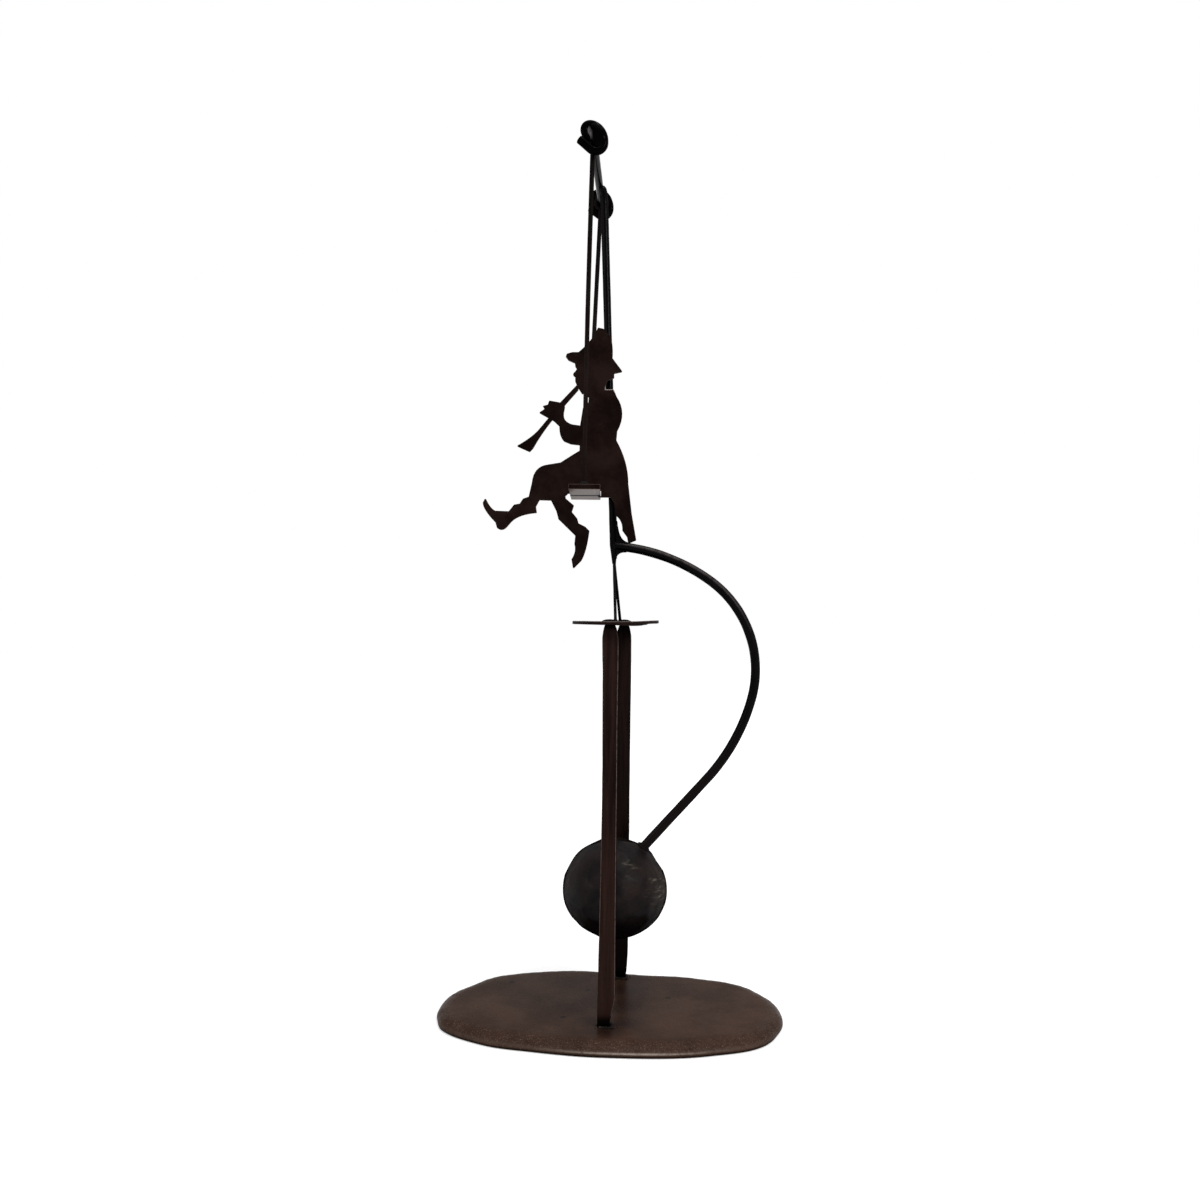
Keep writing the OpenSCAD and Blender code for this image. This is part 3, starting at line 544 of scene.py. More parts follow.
# Painted highlight along the upper half of the filed edge
for f in bm.faces:
    if f.smooth and f.calc_center_median().z > PLATE_TOP - PLATE_T / 2:
        f[wear_and_glint] = 0.34
for v in bm.verts:
    across = (v.co.x - PLATE_X) / PLATE_HALF_X
    out = math.hypot(across, (v.co.y - LINE_Y) / PLATE_HALF_Y)
    v.co.z += PLATE_LIFT * max(0.0, min(1.0, (out - 0.75) / 0.22))
    v.co.z += PLATE_BEND * max(0.0, across) ** 2 + rough(v.co, 0.25, 14) * abs(across)
    if v.co.z < PLATE_TOP - PLATE_T / 2:
        v.co.z -= PLATE_SAG * math.sin(math.pi * max(0.0, min(1.0, across)))
bmesh.ops.triangulate(bm, faces=bm.faces)
add_piece(bm, "bridge_plate", sheet_steel, "stand", ["top_plate"])

# Rocker fork: one thin rod bent to an inverted V, with a small rounded foot at each end. The feet only
# rest in the top plate's pockets, so that the whole balance rocks on them.
ROCK = Vector((2.6, LINE_Y, 255.276))
FORK_D, FORK_SPREAD, FORK_H, FORK_LEAN, FORK_BEND, FORK_TWIST = 1.9, 58.0, 39.2, 4.2, 3.0, -1.0
FOOT_D, FOOT_LEN = 2.8, 2.0
ROD_BLACK = dict(ground=(0.0006, 0.0004, 0.0005), cloud=(0.0026, 0.0018, 0.002), bare=(0.085, 0.072, 0.07),
                 clouds=110.0, pit=420.0, depth=0.1, gloss=(0.12, 0.26), specular=0.03, wear_and_glint_strength=0.8,
                 stretch=(1.0, 1.0, 0.4), matt=1.0)
rod_black = steel_finish("rod_gloss_black", **ROD_BLACK)


def turned(axis, degrees):
    return Matrix.Rotation(math.radians(degrees), 4, axis)


def draw_bar(bm, place, moves, d, sides=28, step=2.5):
    """Draws a round bar along a chain of moves, as a smith bends it. The bar sets out along the place's X and
    bends toward its -Z; each move is length or radius, then turn and roll in degrees. Returns both ends."""
    loop = bmesh.ops.create_circle(bm, cap_ends=False, segments=sides, radius=d / 2,
                                   matrix=place @ turned("Y", 90))["verts"]
    edges = list({e for v in loop for e in v.link_edges})
    first = (place.translation.copy(), -(place.to_3x3() @ Vector((1, 0, 0))), edges)
    for reach, turn, roll in moves:
        place = place @ turned("X", roll)
        if turn:
            middle = place @ Vector((0, 0, -reach))
            axis = place.to_3x3() @ Vector((0, 1, 0))
            steps = max(3, round(max(math.radians(turn) * reach / step, turn / 8)))
            last = bmesh.ops.spin(bm, geom=edges, cent=middle, axis=axis, angle=math.radians(turn),
                                  steps=steps, use_merge=False)["geom_last"]
            edges = [e for e in last if isinstance(e, bmesh.types.BMEdge)]
            about = Matrix.Translation(middle) @ Matrix.Rotation(math.radians(turn), 4, axis)
            place = about @ Matrix.Translation(-middle) @ place
        else:
            along = place.to_3x3() @ Vector((1, 0, 0))
            count = max(1, round(reach / step))
            for _ in range(count):
                ring, edges = raise_ring(bm, {v: 0 for e in edges for v in e.verts}, edges)
                bmesh.ops.translate(bm, vec=along * reach / count, verts=list(ring))
            place = Matrix.Translation(along * reach) @ place
    return first, (place.translation.copy(), place.to_3x3() @ Vector((1, 0, 0)), edges)


def round_end(bm, end, d, proud):
    """Closes the end of a bar with a low dome that stands proud of it."""
    middle, out, edges = end
    for angle in (25, 50, 72):
        ring, edges = raise_ring(bm, {v: 0 for e in edges for v in e.verts}, edges)
        for v in ring:
            arm = v.co - middle
            arm -= out * arm.dot(out)
            v.co = middle + arm.normalized() * d / 2 * math.cos(math.radians(angle)) \
                + out * proud * math.sin(math.radians(angle))
    bmesh.ops.edgeloop_fill(bm, edges=edges)


splay = math.degrees(math.atan(FORK_SPREAD / 2 / FORK_H))
bend = 180 - 2 * splay
leg = math.hypot(FORK_SPREAD / 2, FORK_H) - FORK_BEND * math.tan(math.radians(bend / 2))
bm = bmesh.new()
stand_in_pockets = Matrix.Translation(ROCK) @ turned("Z", FORK_TWIST)
legs = stand_in_pockets @ turned("Y", -FORK_LEAN) @ Matrix.Translation((0, -FORK_SPREAD / 2, 0))
for end in draw_bar(bm, legs @ turned("Z", 90) @ turned("Y", splay - 90),
                    [(leg, 0, 0), (FORK_BEND, bend, 0), (leg, 0, 0)], FORK_D, 18):
    round_end(bm, end, FORK_D, 0.4)
skin(bm, lambda v: rough(v.co, 0.05, 5))
for side in (-1, 1):
    foot = bmesh.ops.create_icosphere(bm, subdivisions=4, radius=FOOT_D / 2)["verts"]
    for v in foot:
        v.co.y += math.copysign(FOOT_LEN / 2, v.co.y) if abs(v.co.y) > 0.02 else 0
    in_pocket = stand_in_pockets @ Matrix.Translation((0, side * FORK_SPREAD / 2, 0))
    bmesh.ops.transform(bm, matrix=in_pocket, verts=foot)
smooth_all(bm)
add_piece(bm, "rocker_wire", rod_black, "balance_frame", ["rocker_fork"])

# Upright: a round rod that stands on the fork's bend and leans a little to the left. It is drawn to a taper
# at the foot, where it is welded to the fork, and to a rounded head, where it is welded to the crossbar.
UPRIGHT_D, UPRIGHT_LEAN, UPRIGHT_H = 5.0, 2.1, 244.8
# The foot's least width and its taper's length; the head's width, its taper's length and that of its dome
UPRIGHT_TIP, UPRIGHT_FOOT = 2.4, 12
UPRIGHT_HEAD_D, UPRIGHT_HEAD, UPRIGHT_DOME = 3.0, 9, 5.0
APEX = ROCK + FORK_H * Vector((-math.sin(math.radians(FORK_LEAN)), 0, math.cos(math.radians(FORK_LEAN))))
at_apex = Matrix.Translation(APEX) @ turned("Y", -UPRIGHT_LEAN)
upright_foot = FORK_BEND - FORK_BEND / math.sin(math.radians(splay))
bm = bmesh.new()
made = bmesh.ops.create_circle(bm, cap_ends=True, segments=32, radius=1)["verts"]
ring, edges = {v: v.co.copy() for v in made}, bm.edges[:]
levels = [upright_foot + n for n in range(0, UPRIGHT_FOOT + 1, 2)]
levels += [levels[-1] + (UPRIGHT_H - UPRIGHT_HEAD - levels[-1]) * n / 90 for n in range(1, 91)]
levels += [UPRIGHT_H - UPRIGHT_HEAD + n for n in (2, 4, 5.5, 6.5, 7.4, 8.1, 8.6, 8.9)]
for step, z in enumerate(levels):
    if step:
        ring, edges = raise_ring(bm, ring, edges)
    foot = min(1.0, (z - upright_foot) / UPRIGHT_FOOT)
    head = min(1.0, (UPRIGHT_H - z) / UPRIGHT_HEAD)
    d = min(between(UPRIGHT_TIP, UPRIGHT_D, foot),
            between(UPRIGHT_HEAD_D, UPRIGHT_D, math.sin(head * math.pi / 2)))
    d *= math.sin(math.pi / 2 * min(1.0, (UPRIGHT_H - z) / UPRIGHT_DOME)) ** 0.6
    for v, unit in ring.items():
        v.co = at_apex @ (unit * d / 2 + Vector((0, 0, z)))
bmesh.ops.edgeloop_fill(bm, edges=edges)
skin(bm, lambda v: rough(v.co, 0.08, 8) + rough(v.co, 0.03, 2.5))
smooth_all(bm)
add_piece(bm, "upright_rod", rod_black, "balance_frame", ["upright"])

# Counterweight arm: one long round rod, welded to the upright's side just above the fork and bent in three
# stretches down and back under the stand. It is black like the upright, and browner toward the ball.
ARM_D, ARM_RISE, ARM_DIP = 6.0, 9.8, 7.0
ARM_TURNS = (28.0, 70.5, 26.5)
# The last straight run: to the ball's middle, less the ball's radius, and then into its hole
ARM_RUN, ARM_SHORT, ARM_SOCKET = 93.5, 33.0, 16.0
ARM_MOVES = [(8.0, 0, 0), (120.0, ARM_TURNS[0], 0), (71.5, ARM_TURNS[1], 0), (128.0, ARM_TURNS[2], 0),
             (ARM_RUN - ARM_SHORT + ARM_SOCKET, 0, 0)]
ARM_START = at_apex @ Vector((0, 0, ARM_RISE))
# The side of the arm that carries a painted highlight, up and toward the front
ARM_HIGHLIGHT_SIDE = Vector((0.26, -0.8, 0.54)).normalized()
# The brown toward the ball, as a fade by height
ARM_BROWN = ((0.13, 0.2, 0.65, 0.0), (0.0098, 0.0058, 0.0058))
arm_black = steel_finish("arm_black_to_brown", **ROD_BLACK)
tree, shader, colour = open_finish(arm_black)
tree.links.new(fade_node(tree, colour, *ARM_BROWN), shader.inputs["Base Color"])
bm = bmesh.new()
for end in draw_bar(bm, Matrix.Translation(ARM_START) @ turned("Y", ARM_DIP), ARM_MOVES, ARM_D, 32, 3.0):
    round_end(bm, end, ARM_D, 0.6)
skin(bm, lambda v: rough(v.co, 0.1, 11) + rough(v.co, 0.04, 3.2))
# The painted highlight: a narrow bright band along that side of the arm
wear_and_glint = bm.verts.layers.float.new("wear_and_glint")
bm.normal_update()
for v in bm.verts:
    v[wear_and_glint] = max(0.0, v.normal.dot(ARM_HIGHLIGHT_SIDE)) ** 24
smooth_all(bm)
add_piece(bm, "bowed_arm", arm_black, "balance_frame", ["counterweight_arm"])

# Junction web: weld metal that fairs the arm into the upright, above and below, ground smooth and painted
# over with the rods.
bm = copy_of("junction_weld")
bmesh.ops.triangulate(bm, faces=bm.faces)
smooth_all(bm)
fairing = add_piece(bm, "junction_fairing", rod_black, "balance_frame", ["junction_weld"])
evened = fairing.modifiers.new("evened", "REMESH")
evened.mode, evened.voxel_size, evened.use_smooth_shade = "VOXEL", 0.4 * MM, True
ground_off = fairing.modifiers.new("ground_off", "SMOOTH")
ground_off.factor, ground_off.iterations = 0.5, 10
laid_on = fairing.modifiers.new("laid_on", "DISPLACE")
laid_on.strength, laid_on.mid_level = 0.45 * MM, 0.0

# Counterweight ball: a solid lump of steel, forged to a rough ball. Its skin is all hammer facets, with a
# dent beside the arm and a patch at the right where it has been filed and scratched bright, and a painted
# highlight toward the top front.
BALL_MID, BALL_R = ROCK + Vector((-0.340, 0, -174.776)), 33.0
# Facets: how many, the turn in radians from each to the next, the least depth, and how much deeper some are
FACETS, FACET_TURN, FACET_LEAST, FACET_MORE = 60, 2.39996, 0.3, 1.6
# The ball is drawn out along X and flattened below
BALL_WIDE, BALL_LOW = 1.03, 0.94
# Directions from the middle: the dent, the filed patch and a smaller painted highlight, and how far each
# spreads
DENT, PATCH, BALL_GLINT = (Vector(way).normalized() for way in (
    (0.83, 0.12, 0.545), (0.88, -0.46, 0.12), (0.3, -0.74, 0.6)))
DENT_REACH, PATCH_REACH, BALL_GLINT_REACH, DENT_DEPTH = 0.2, 0.5, 0.26, 3.2
BALL_FILED, BALL_SCRATCH = (0.028, 0.0215, 0.0165), (0.16, 0.135, 0.11)
# Painted shade on the underside, as a fade by height
BALL_UNDER_SHADE = ((0.054, 0.086, 0.88, 0.0), (0.0012, 0.001, 0.001))
ball_steel = steel_finish(
    "ball_forged_grey", ground=(0.0034, 0.0028, 0.0037), cloud=(0.0162, 0.0102, 0.0094),
    bare=(0.1, 0.09, 0.078), clouds=62.0, pit=380.0, depth=0.25, gloss=(0.28, 0.46), specular=0.055,
    wear_and_glint_strength=0.4, matt=1.0)
tree, shader, colour = open_finish(ball_steel)
filed = mark_node(tree, "scuff_and_glint")
raked = tree.nodes.new("ShaderNodeMapping")
raked.inputs["Rotation"].default_value = (0.0, 0.55, 0.3)
raked.inputs["Scale"].default_value = (120.0, 120.0, 560.0)
tree.links.new(place_node(tree), raked.inputs["Vector"])
scratch = ramp_node(tree, noise_node(tree, raked.outputs["Vector"], 1.0, 5.0, 0.68), 0.52, 0.76)
# The filed patch and the painted highlight share one mark, and both take the filed colour and its scratches
colour = mix_node(tree, math_node(tree, "MULTIPLY", filed, 0.45), colour, BALL_FILED)
colour = mix_node(tree, math_node(tree, "MULTIPLY", scratch, filed), colour, BALL_SCRATCH)
tree.links.new(fade_node(tree, colour, *BALL_UNDER_SHADE), shader.inputs["Base Color"])

bm = bmesh.new()
scuff_and_glint = bm.verts.layers.float.new("scuff_and_glint")
bmesh.ops.create_icosphere(bm, subdivisions=6, radius=BALL_R)
facets = []
for n in range(FACETS):
    z = 1 - (2 * n + 1) / FACETS
    turn = n * FACET_TURN + 1.3 * noise.noise(Vector((n * 0.37, 1.1, 0)))
    across = math.sqrt(1 - z * z)
    facets.append((Vector((across * math.cos(turn), across * math.sin(turn), z)),
                   BALL_R - FACET_LEAST - FACET_MORE * abs(noise.noise(Vector((n * 0.91, 4.2, 2.0))))))
for v in bm.verts:
    way = v.co.normalized()
    for face, depth in facets:
        over = v.co.dot(face) - depth
        if over > 0:
            v.co -= face * over * 0.9
    near_dent, near_patch, near_glint = (
        max(0.0, 1 - (way - middle).length / reach)
        for middle, reach in ((DENT, DENT_REACH), (PATCH, PATCH_REACH), (BALL_GLINT, BALL_GLINT_REACH)))
    v.co -= way * (DENT_DEPTH * min(1.0, 1.5 * near_dent))
    v.co += way * (near_patch * 0.9 * noise.noise(v.co / 2.6) + 0.3 * noise.noise(v.co / 12))
    v.co.x *= BALL_WIDE
    v.co.z *= BALL_LOW if v.co.z < 0 else 1.0
    v[scuff_and_glint] = min(1.0, 1.4 * near_patch + 0.7 * near_glint)
bmesh.ops.translate(bm, vec=BALL_MID, verts=bm.verts)
smooth_all(bm)
add_piece(bm, "forged_ball", ball_steel, "balance_frame", ["counterweight_ball"])

# Ball weld: the collar of weld round the arm where it goes into the ball, lumpy and unground, and as brown
# as the arm is there.
ARM_HEADING = ARM_DIP + sum(ARM_TURNS)
COLLAR_THICK, COLLAR_RIPPLES = 1.05, 22
# The collar's place beside the ball's middle and out along the arm, and its tilt in degrees
COLLAR_ASIDE, COLLAR_OUT, COLLAR_TILT = -4.9, 32.9, -8.5
along_arm = Matrix.Translation(BALL_MID) @ turned("Y", ARM_HEADING - 90)
on_arm = along_arm @ Matrix.Translation((COLLAR_ASIDE, 0, 0))
on_skin = on_arm @ Matrix.Translation((0, 0, COLLAR_OUT)) @ turned("Y", COLLAR_TILT)
bm = bmesh.new()
bead_ring(bm, Vector((0, 0, 0)), ARM_D / 2 + 0.3, COLLAR_THICK, COLLAR_RIPPLES)
bmesh.ops.transform(bm, matrix=on_skin, verts=bm.verts)
smooth_all(bm)
add_piece(bm, "ball_collar", arm_black, "balance_frame", ["ball_weld"])

# Crossbar: one round rod, welded to the side of the upright's head. Each end turns out of its own line, is
# curled once round a lump that fills its middle and ends in a blunt lip, so that the eyes can't slide off.
SWING = Vector((-12.2413, LINE_Y - 16.0, 539.006))
CROSSBAR_D, BAR_END = 5.0, 47.2
CURL_MOVES = [(BAR_END, 0, 0), (2.8, 90, 0), (2.8, 60, -90), (5.1, 180, 0), (5.8, 0, 0),
              (5.1, 129, -10), (8.0, 0, 0)]
# How far the top of each curl slants to the left, as a share of its height over the bar
CURL_SLANT = 0.3
# The side of the lump that carries a painted glint, and how much narrower the rear curl is
CURL_GLINT, REAR_CURL = Vector((-0.84, -0.5, 0.12)).normalized(), 0.9
# Sheen of the straight bar, and of the curls from a square look to a glancing one
BAR_SHEEN, CURL_SHEEN = 0.022, (0.009, 0.001)
# bare is the colour of the painted glint on the front curl's lump
bar_black = steel_finish(
    "crossbar_black", ground=(0.0003, 0.0002, 0.0002), cloud=(0.0013, 0.0008, 0.0009),
    bare=(0.3, 0.285, 0.28), clouds=110.0, pit=420.0, depth=0.1, gloss=(0.1, 0.22), specular=0.03, wear_and_glint_strength=1.0)
tree, shader, _ = open_finish(bar_black)
sheen = tree.nodes.new("ShaderNodeMix")
tree.links.new(mark_node(tree, "curl"), sheen.inputs["Factor"])
sheen.inputs[2].default_value = BAR_SHEEN
tree.links.new(ramp_node(tree, glance_node(tree), 0.3, 0.8, *CURL_SHEEN), sheen.inputs[3])
tree.links.new(sheen.outputs[0], shader.inputs["Specular IOR Level"])


def add_lump(bm, middle, half):
    """Adds an egg-shaped lump. Returns its vertices with the place of each on a ball of radius 1."""
    lump = [(v, v.co.copy()) for v in bmesh.ops.create_icosphere(bm, subdivisions=4, radius=1)["verts"]]
    for v, unit in lump:
        v.co = Vector(m + h * c for m, h, c in zip(middle, half, unit))
    return lump


bm = bmesh.new()
curl = bm.verts.layers.float.new("curl")
wear_and_glint = bm.verts.layers.float.new("wear_and_glint")
tail = draw_bar(bm, turned("Y", 120) @ turned("Z", -90), CURL_MOVES, CROSSBAR_D, 32, 1.5)[1]
round_end(bm, tail, CROSSBAR_D, 0.9)
# The front lump's painted glint, on its left front side
for v, unit in add_lump(bm, (3.2, -BAR_END - 3.4, 2.4), (5.9, 3.2, 8.0)):
    v[wear_and_glint] = max(0.0, min(0.5, (unit.dot(CURL_GLINT) - 0.87) / 0.2))
skin(bm, lambda v: 0.0 if v.co.y > -1 else rough(v.co, 0.06, 6))
for v in bm.verts:
    v[curl] = max(0.0, min(1.0, (-v.co.y - BAR_END + 4) / 4))
    v.co.x -= CURL_SLANT * max(0.0, v.co.z) * v[curl]
bmesh.ops.mirror(bm, geom=bm.verts[:] + bm.edges[:] + bm.faces[:], matrix=Matrix.Identity(4), merge_dist=0.01,
                 axis="Y")
for v in bm.verts:
    if v.co.y > BAR_END:
        v.co.x *= REAR_CURL if v.co.x > 0 else 1.0
        v[wear_and_glint] = 0.0
for v, _ in add_lump(bm, (-3.6, BAR_END + 3.2, 0.6), (3.6, 2.4, 3.8)):
    v[curl] = 1.0
bmesh.ops.translate(bm, vec=SWING, verts=bm.verts)
smooth_all(bm)
add_piece(bm, "curled_crossbar", bar_black, "balance_frame", ["crossbar"])

# Crossbar weld: the blob of weld metal that holds the crossbar to the side of the upright's head. It was
# left round, as it cooled, and painted over with the rods.
BLOB_R, BLOB_LONG, BLOB_ASIDE, BLOB_DROP = 2.6, 1.15, 2.3, 2.8
bm = bmesh.new()
for v in bmesh.ops.create_icosphere(bm, subdivisions=4, radius=BLOB_R)["verts"]:
    v.co *= 1 + rough(v.co, 0.16, 2.4)
    v.co.y *= BLOB_LONG
bmesh.ops.translate(bm, vec=Vector((SWING.x + BLOB_ASIDE, LINE_Y, SWING.z - BLOB_DROP)), verts=bm.verts)
smooth_all(bm)
add_piece(bm, "crossbar_blob", rod_black, "balance_frame", ["crossbar_weld"])

# Hangers: two thin rods with an eye closed round the crossbar, one at each end of the swing. They hang loose
# on the bar and are welded to the seat at the foot.
HANGER_D, EYE_Y, EYE_R, EYE_TURN = 2.5, 45.15, 3.85, 10
# The rod below the eye, and how far each hanger bows to the left at the middle of its run
HANGER_ROD = HANGER_D + 0.4
HANGER_BOW = {"front": 0.5, "rear": 0.0}
SEAT_TOP, SEAT_TWIST, SEAT_LEN, HANGER_INSET = 338.606, 2.8, 57.0, 3.0
SEAT_X = sum(c.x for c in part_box("seat_plate")) / 2 / MM
# The front hanger's foot stands a little to the left
FRONT_ASIDE = -0.2
# The rods darken toward the bar, as a fade by height
HANGER_DARK = ((0.4, 0.5, 0.0, 0.75), (0.0022, 0.0012, 0.0016))


def seat_end(side):
    """Place of a hanger's foot on the seat."""
    out = side * (SEAT_LEN / 2 - HANGER_INSET)
    lean = math.radians(SEAT_TWIST)
    aside = FRONT_ASIDE if side < 0 else 0.0
    return Vector((SEAT_X + aside - out * math.sin(lean), SWING.y + out * math.cos(lean), SEAT_TOP))


wire_brown = steel_finish(
    "hanger_brown_wire", ground=(0.0062, 0.0034, 0.0031), cloud=(0.0155, 0.0092, 0.0082),
    bare=(0.05, 0.04, 0.035), clouds=160.0, pit=620.0, depth=0.08, gloss=(0.3, 0.5), specular=0.018, wear_and_glint_strength=0.4,
    stretch=(1.0, 1.0, 0.15), matt=1.0)
tree, shader, colour = open_finish(wire_brown)
tree.links.new(fade_node(tree, colour, *HANGER_DARK), shader.inputs["Base Color"])
for side, name in ((-1, "front"), (1, "rear")):
    bm = bmesh.new()
    eye = SWING + Vector((0, side * EYE_Y, 0))
    loop = bmesh.ops.create_circle(bm, cap_ends=False, segments=18, radius=HANGER_D / 2,
                                   matrix=Matrix.Translation(eye + Vector((EYE_R, 0, 0))))["verts"]
    bmesh.ops.spin(bm, geom=list({e for v in loop for e in v.link_edges}), cent=eye, axis=(0, 1, 0),
                   angle=2 * math.pi, steps=60, use_merge=True)
    top = eye + EYE_R * Vector((-math.sin(math.radians(EYE_TURN)), 0, -math.cos(math.radians(EYE_TURN))))
    run = seat_end(side) - top
    lie = Matrix.Translation(top) @ run.to_track_quat("X", "Z").to_matrix().to_4x4()
    for end in draw_bar(bm, lie, [(run.length, 0, 0)], HANGER_ROD, 18, 3.0):
        round_end(bm, end, HANGER_ROD, 0.1)
    for v in bm.verts:
        share = max(0.0, min(1.0, (top.z - v.co.z) / (top.z - SEAT_TOP)))
        v.co.x -= HANGER_BOW[name] * math.sin(math.pi * share)
    skin(bm, lambda v: rough(v.co, 0.04, 7))
    smooth_all(bm)
    add_piece(bm, name + "_hanger_rod", wire_brown, "swing", [name + "_hanger"])

# Seat: a short strip of flat bar, sheared square, that the figure sits across. Its underside carries a
# painted reflection of the white floor, and a dark line runs across it below the figure.
# Y of the dark line across the underside, and the underside's height
UNDER_LINE_Y, UNDERSIDE = -4.0, SEAT_TOP - 3.2
# Colours of the underside's painted reflection and of the dark line across it
SEAT_UNDER_REFLECTION, SEAT_LINE_DARK = (0.13, 0.088, 0.074), (0.004, 0.002, 0.002)
strip_steel = steel_finish(
    "seat_brown_strip", ground=(0.0052, 0.0024, 0.002), cloud=(0.0128, 0.0068, 0.0055),
    bare=(0.16, 0.12, 0.105), clouds=60.0, pit=760.0, depth=0.06, gloss=(0.3, 0.44), specular=0.03, wear_and_glint_strength=0.7)
tree, shader, colour = open_finish(strip_steel)
apart = apart_node(tree)
# Painted reflection of the floor on the underside
below = ramp_node(tree, apart["Z"], (UNDERSIDE + 0.1) * MM, (UNDERSIDE + 0.3) * MM, 1.0, 0.0)
colour = mix_node(tree, below, colour, SEAT_UNDER_REFLECTION)
# The dark line across the underside, below the figure
off_line = math_node(tree, "ABSOLUTE", math_node(tree, "SUBTRACT", apart["Y"], UNDER_LINE_Y * MM))
dark_line = math_node(tree, "MULTIPLY", below, ramp_node(tree, off_line, 0.0026, 0.0042, 1.0, 0.0))
tree.links.new(mix_node(tree, dark_line, colour, SEAT_LINE_DARK), shader.inputs["Base Color"])
tree.links.new(ramp_node(tree, math_node(tree, "SUBTRACT", below, dark_line), 0.0, 1.0, 0.002, 0.03),
               shader.inputs["Specular IOR Level"])
bm = copy_of("seat_plate")
file_edges(bm, [e for e in bm.edges if e.calc_face_angle() > 0.9], 0.3, 0.5)
add_piece(bm, "seat_strip", strip_steel, "swing", ["seat_plate"])

# Hanger welds: a small cone of weld metal round each hanger's foot, laid in two beads on the seat. They are
# left as they cooled. Each bead has its height over the seat, distance from the rod, thickness and ripples.
HANGER_BEADS = ((0.25, 0.45, 0.95, 14), (1.3, 0.1, 0.7, 12))
for side, name in ((-1, "front"), (1, "rear")):
    bm = bmesh.new()
    for up, out, thick, ripples in HANGER_BEADS:
        bead_ring(bm, seat_end(side) + Vector((0, 0, up)), HANGER_D / 2 + out, thick, ripples)
    smooth_all(bm)
    add_piece(bm, name + "_hanger_bead", weld_steel, "swing", [name + "_hanger_weld"])

# Figure: a seated piper in a tall hat, cut in one piece from flat sheet with a torch and filed. The faces
# keep a brown patina, the cut edges are a little brighter, and the edges of the notch at the nape carry a
# painted glint.
FIGURE_X, FIGURE_Z, FIGURE_SIZE = SEAT_X - 0.4, SEAT_TOP + 0.5, 104.2 / 105.0
# The notch's lower and left edges, which carry a painted glint, in the units of the figure's own drawing:
# X from and to, Z from and to
NAPE = ((12, 18.6, 64.2, 65.6), (12, 13.4, 64.2, 68.6))
bm = copy_of("piper_figure")
bm.normal_update()
front_y = min(v.co.y for v in bm.verts)
nape = []
for e in bm.edges:
    middle = (e.verts[0].co + e.verts[1].co) / 2
    u, w = (middle.x - FIGURE_X) / FIGURE_SIZE, (middle.z - FIGURE_Z) / FIGURE_SIZE
    if all(abs(v.co.y - front_y) < 0.01 for v in e.verts) and any(
            left < u < right and low < w < high for left, right, low, high in NAPE):
        nape.append(e)
wear_and_glint = file_edges(bm, nape, 0.55, 1.0)
for f in bm.faces:
    if abs(f.normal.y) < 0.3:
        f[wear_and_glint], f.smooth = 0.09, True
add_piece(bm, "piper_cutout", sheet_steel, "swing", ["piper_figure"])

# Figure weld: a short run of tack weld behind the sheet that holds it to the seat. Its blobs of weld metal
# are left as they cooled, flat on the seat.
TACKS, TACK_R = 9, 1.2
low, high = (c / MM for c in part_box("figure_weld"))
bm = bmesh.new()
for n in range(TACKS):
    along = low.x + TACK_R + (high.x - low.x - 2 * TACK_R) * (n / (TACKS - 1))
    spot = Vector((along, low.y + 0.6, low.z + 0.5))
    for v in bmesh.ops.create_icosphere(bm, subdivisions=3, radius=TACK_R,
                                        matrix=Matrix.Translation(spot))["verts"]:
        v.co.x = spot.x + (v.co.x - spot.x) * 1.1
        v.co.z = max(low.z, v.co.z + 0.12 * noise.noise(v.co))
smooth_all(bm)
add_piece(bm, "figure_tack", weld_steel, "swing", ["figure_weld"])

# Studio: a white floor and an even white room, one wide soft light overhead and a weaker one at each side.
# The floor is drawn a little brighter than it is lit, so that only the toy's shadow shows on it.
FLOOR_SIZE, FLOOR_GREY, ROOM_LIGHT = 6.0, 0.7, 0.3
# The floor's added brightness near the toy and far off, and the distances in metres between which it grows
FLOOR_LIFT, FLOOR_REACH = (0.52, 1.0), (0.2, 1.0)
# Lights: name, place and size in metres, and power; the smallest gives the rods their highlight
LIGHTS = (("light_overhead", (0.1, -0.3, 1.7), 1.4, 13.0), ("light_spark", (0.25, -0.15, 1.6), 0.1, 2.5),
          ("light_left", (-1.3, -1.0, 0.8), 0.8, 5.0), ("light_right", (1.1, -1.2, 1.0), 0.5, 12.0))
LIGHTS_AIM = Vector((0, 0, 0.25))
floor_mesh = bpy.data.meshes.new("studio_floor")
bm = bmesh.new()
bmesh.ops.create_grid(bm, x_segments=1, y_segments=1, size=FLOOR_SIZE)
bm.to_mesh(floor_mesh)
bm.free()
floor = bpy.data.objects.new("studio_floor", floor_mesh)
floor.location.z = -0.2 * MM
bpy.context.scene.collection.objects.link(floor)


def seen_directly(tree):
    """1 for a ray from the camera or from a mirror or glass, and 0 for light that falls on a surface."""
    path = tree.nodes.new("ShaderNodeLightPath").outputs
    some = math_node(tree, "MAXIMUM", path["Is Camera Ray"], path["Is Glossy Ray"])
    return math_node(tree, "MAXIMUM", some, path["Is Transmission Ray"])


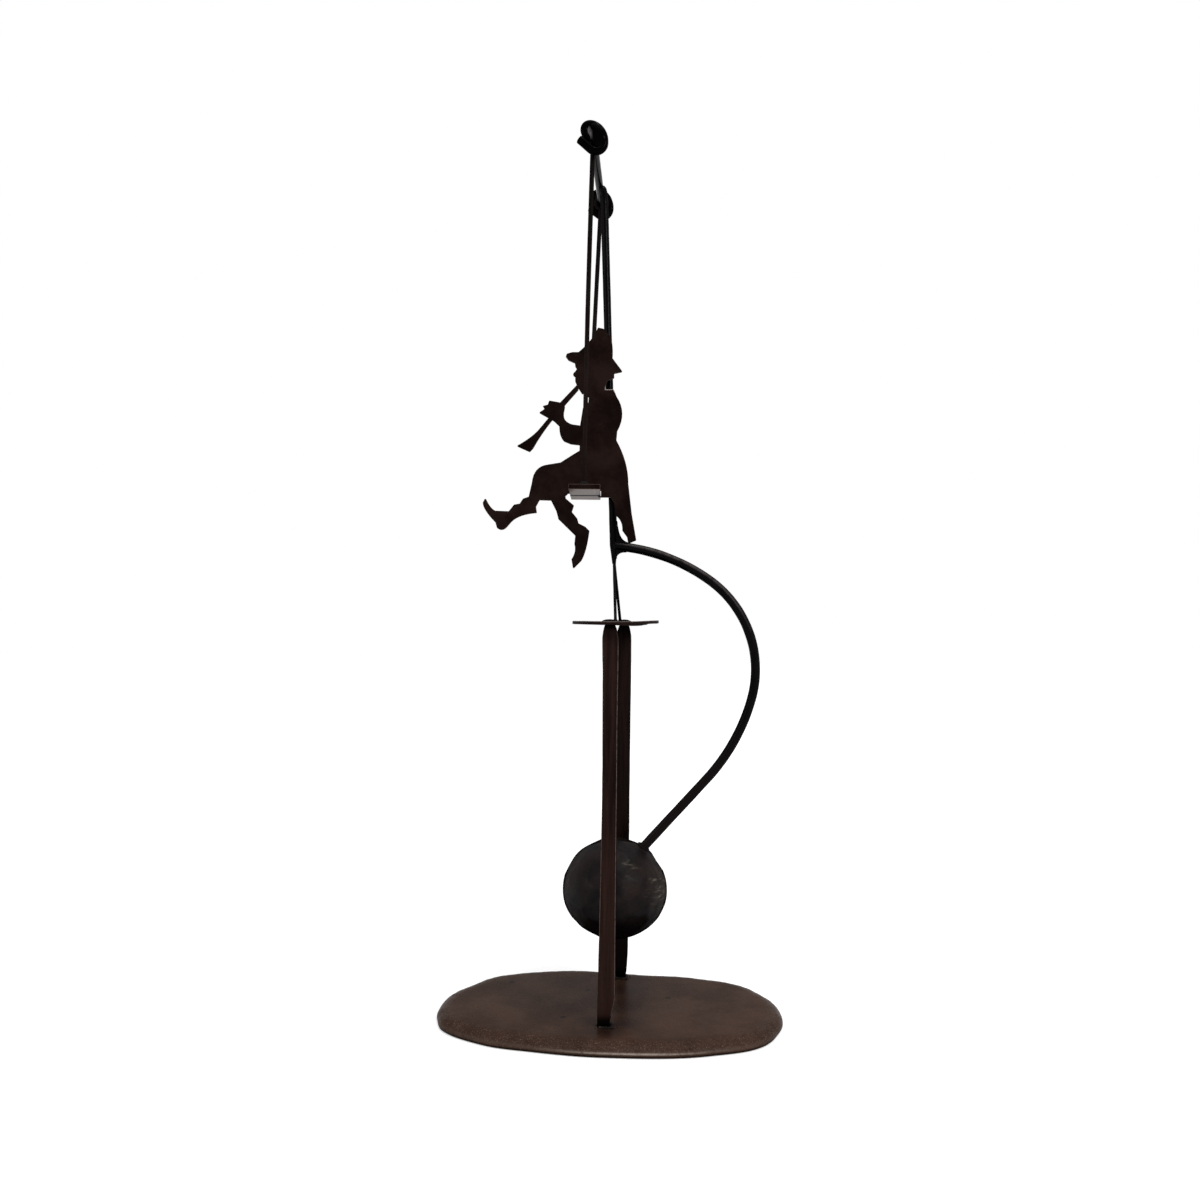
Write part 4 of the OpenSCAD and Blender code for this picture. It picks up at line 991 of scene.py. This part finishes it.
white_floor = bpy.data.materials.new("studio_white")
white_floor.use_nodes = True
tree = white_floor.node_tree
tree.nodes.remove(tree.nodes["Principled BSDF"])
matt = tree.nodes.new("ShaderNodeBsdfDiffuse")
matt.inputs["Color"].default_value = (FLOOR_GREY, FLOOR_GREY, FLOOR_GREY, 1)
lift = tree.nodes.new("ShaderNodeEmission")
brighter = ramp_node(tree, away_node(tree, (0, 0, 0)), *FLOOR_REACH, *FLOOR_LIFT)
tree.links.new(math_node(tree, "MULTIPLY", seen_directly(tree), brighter), lift.inputs["Strength"])
both = tree.nodes.new("ShaderNodeAddShader")
tree.links.new(matt.outputs[0], both.inputs[0])
tree.links.new(lift.outputs[0], both.inputs[1])
tree.links.new(both.outputs[0], tree.nodes["Material Output"].inputs["Surface"])
floor_mesh.materials.append(white_floor)

room = bpy.data.worlds.new("studio_room")
bpy.context.scene.world = room
room.use_nodes = True
tree = room.node_tree
background = tree.nodes["Background"]
background.inputs["Color"].default_value = (1, 1, 1, 1)
tree.links.new(ramp_node(tree, seen_directly(tree), 0.0, 1.0, ROOM_LIGHT, 1.0), background.inputs["Strength"])

for name, place, size, power in LIGHTS:
    lamp = bpy.data.lights.new(name, "AREA")
    lamp.shape, lamp.size, lamp.energy = "DISK", size, power
    light = bpy.data.objects.new(name, lamp)
    light.location = place
    light.rotation_euler = (LIGHTS_AIM - Vector(place)).to_track_quat("-Z", "Y").to_euler()
    bpy.context.scene.collection.objects.link(light)

# Camera: level with the top plate, a little to the right of straight on, as in the photograph. The lens and
# its shift are in pixels of the photograph; the aim is in degrees, and the slight roll in radians.
LENS_PX, SHIFT_PX, IMAGE_PX = 1061.0, 21.0, 1200.0
CAMERA_PLACE, CAMERA_AIM, CAMERA_ROLL = Vector((27.05, -683.5, 255.0)), 2.9923, 0.0097
camera = bpy.data.cameras.new("camera")
camera.sensor_width = 36.0
camera.lens = camera.sensor_width * LENS_PX / IMAGE_PX
camera.shift_y = SHIFT_PX / IMAGE_PX
camera.clip_start, camera.clip_end = 0.01, 50.0
stand_point = bpy.data.objects.new("camera", camera)
stand_point.location = CAMERA_PLACE * MM
stand_point.rotation_euler = (turned("Z", CAMERA_AIM) @ turned("X", 90)
                              @ Matrix.Rotation(CAMERA_ROLL, 4, "Z")).to_euler()
bpy.context.scene.collection.objects.link(stand_point)
bpy.context.scene.camera = stand_point
bpy.context.scene.view_settings.view_transform = "Standard"
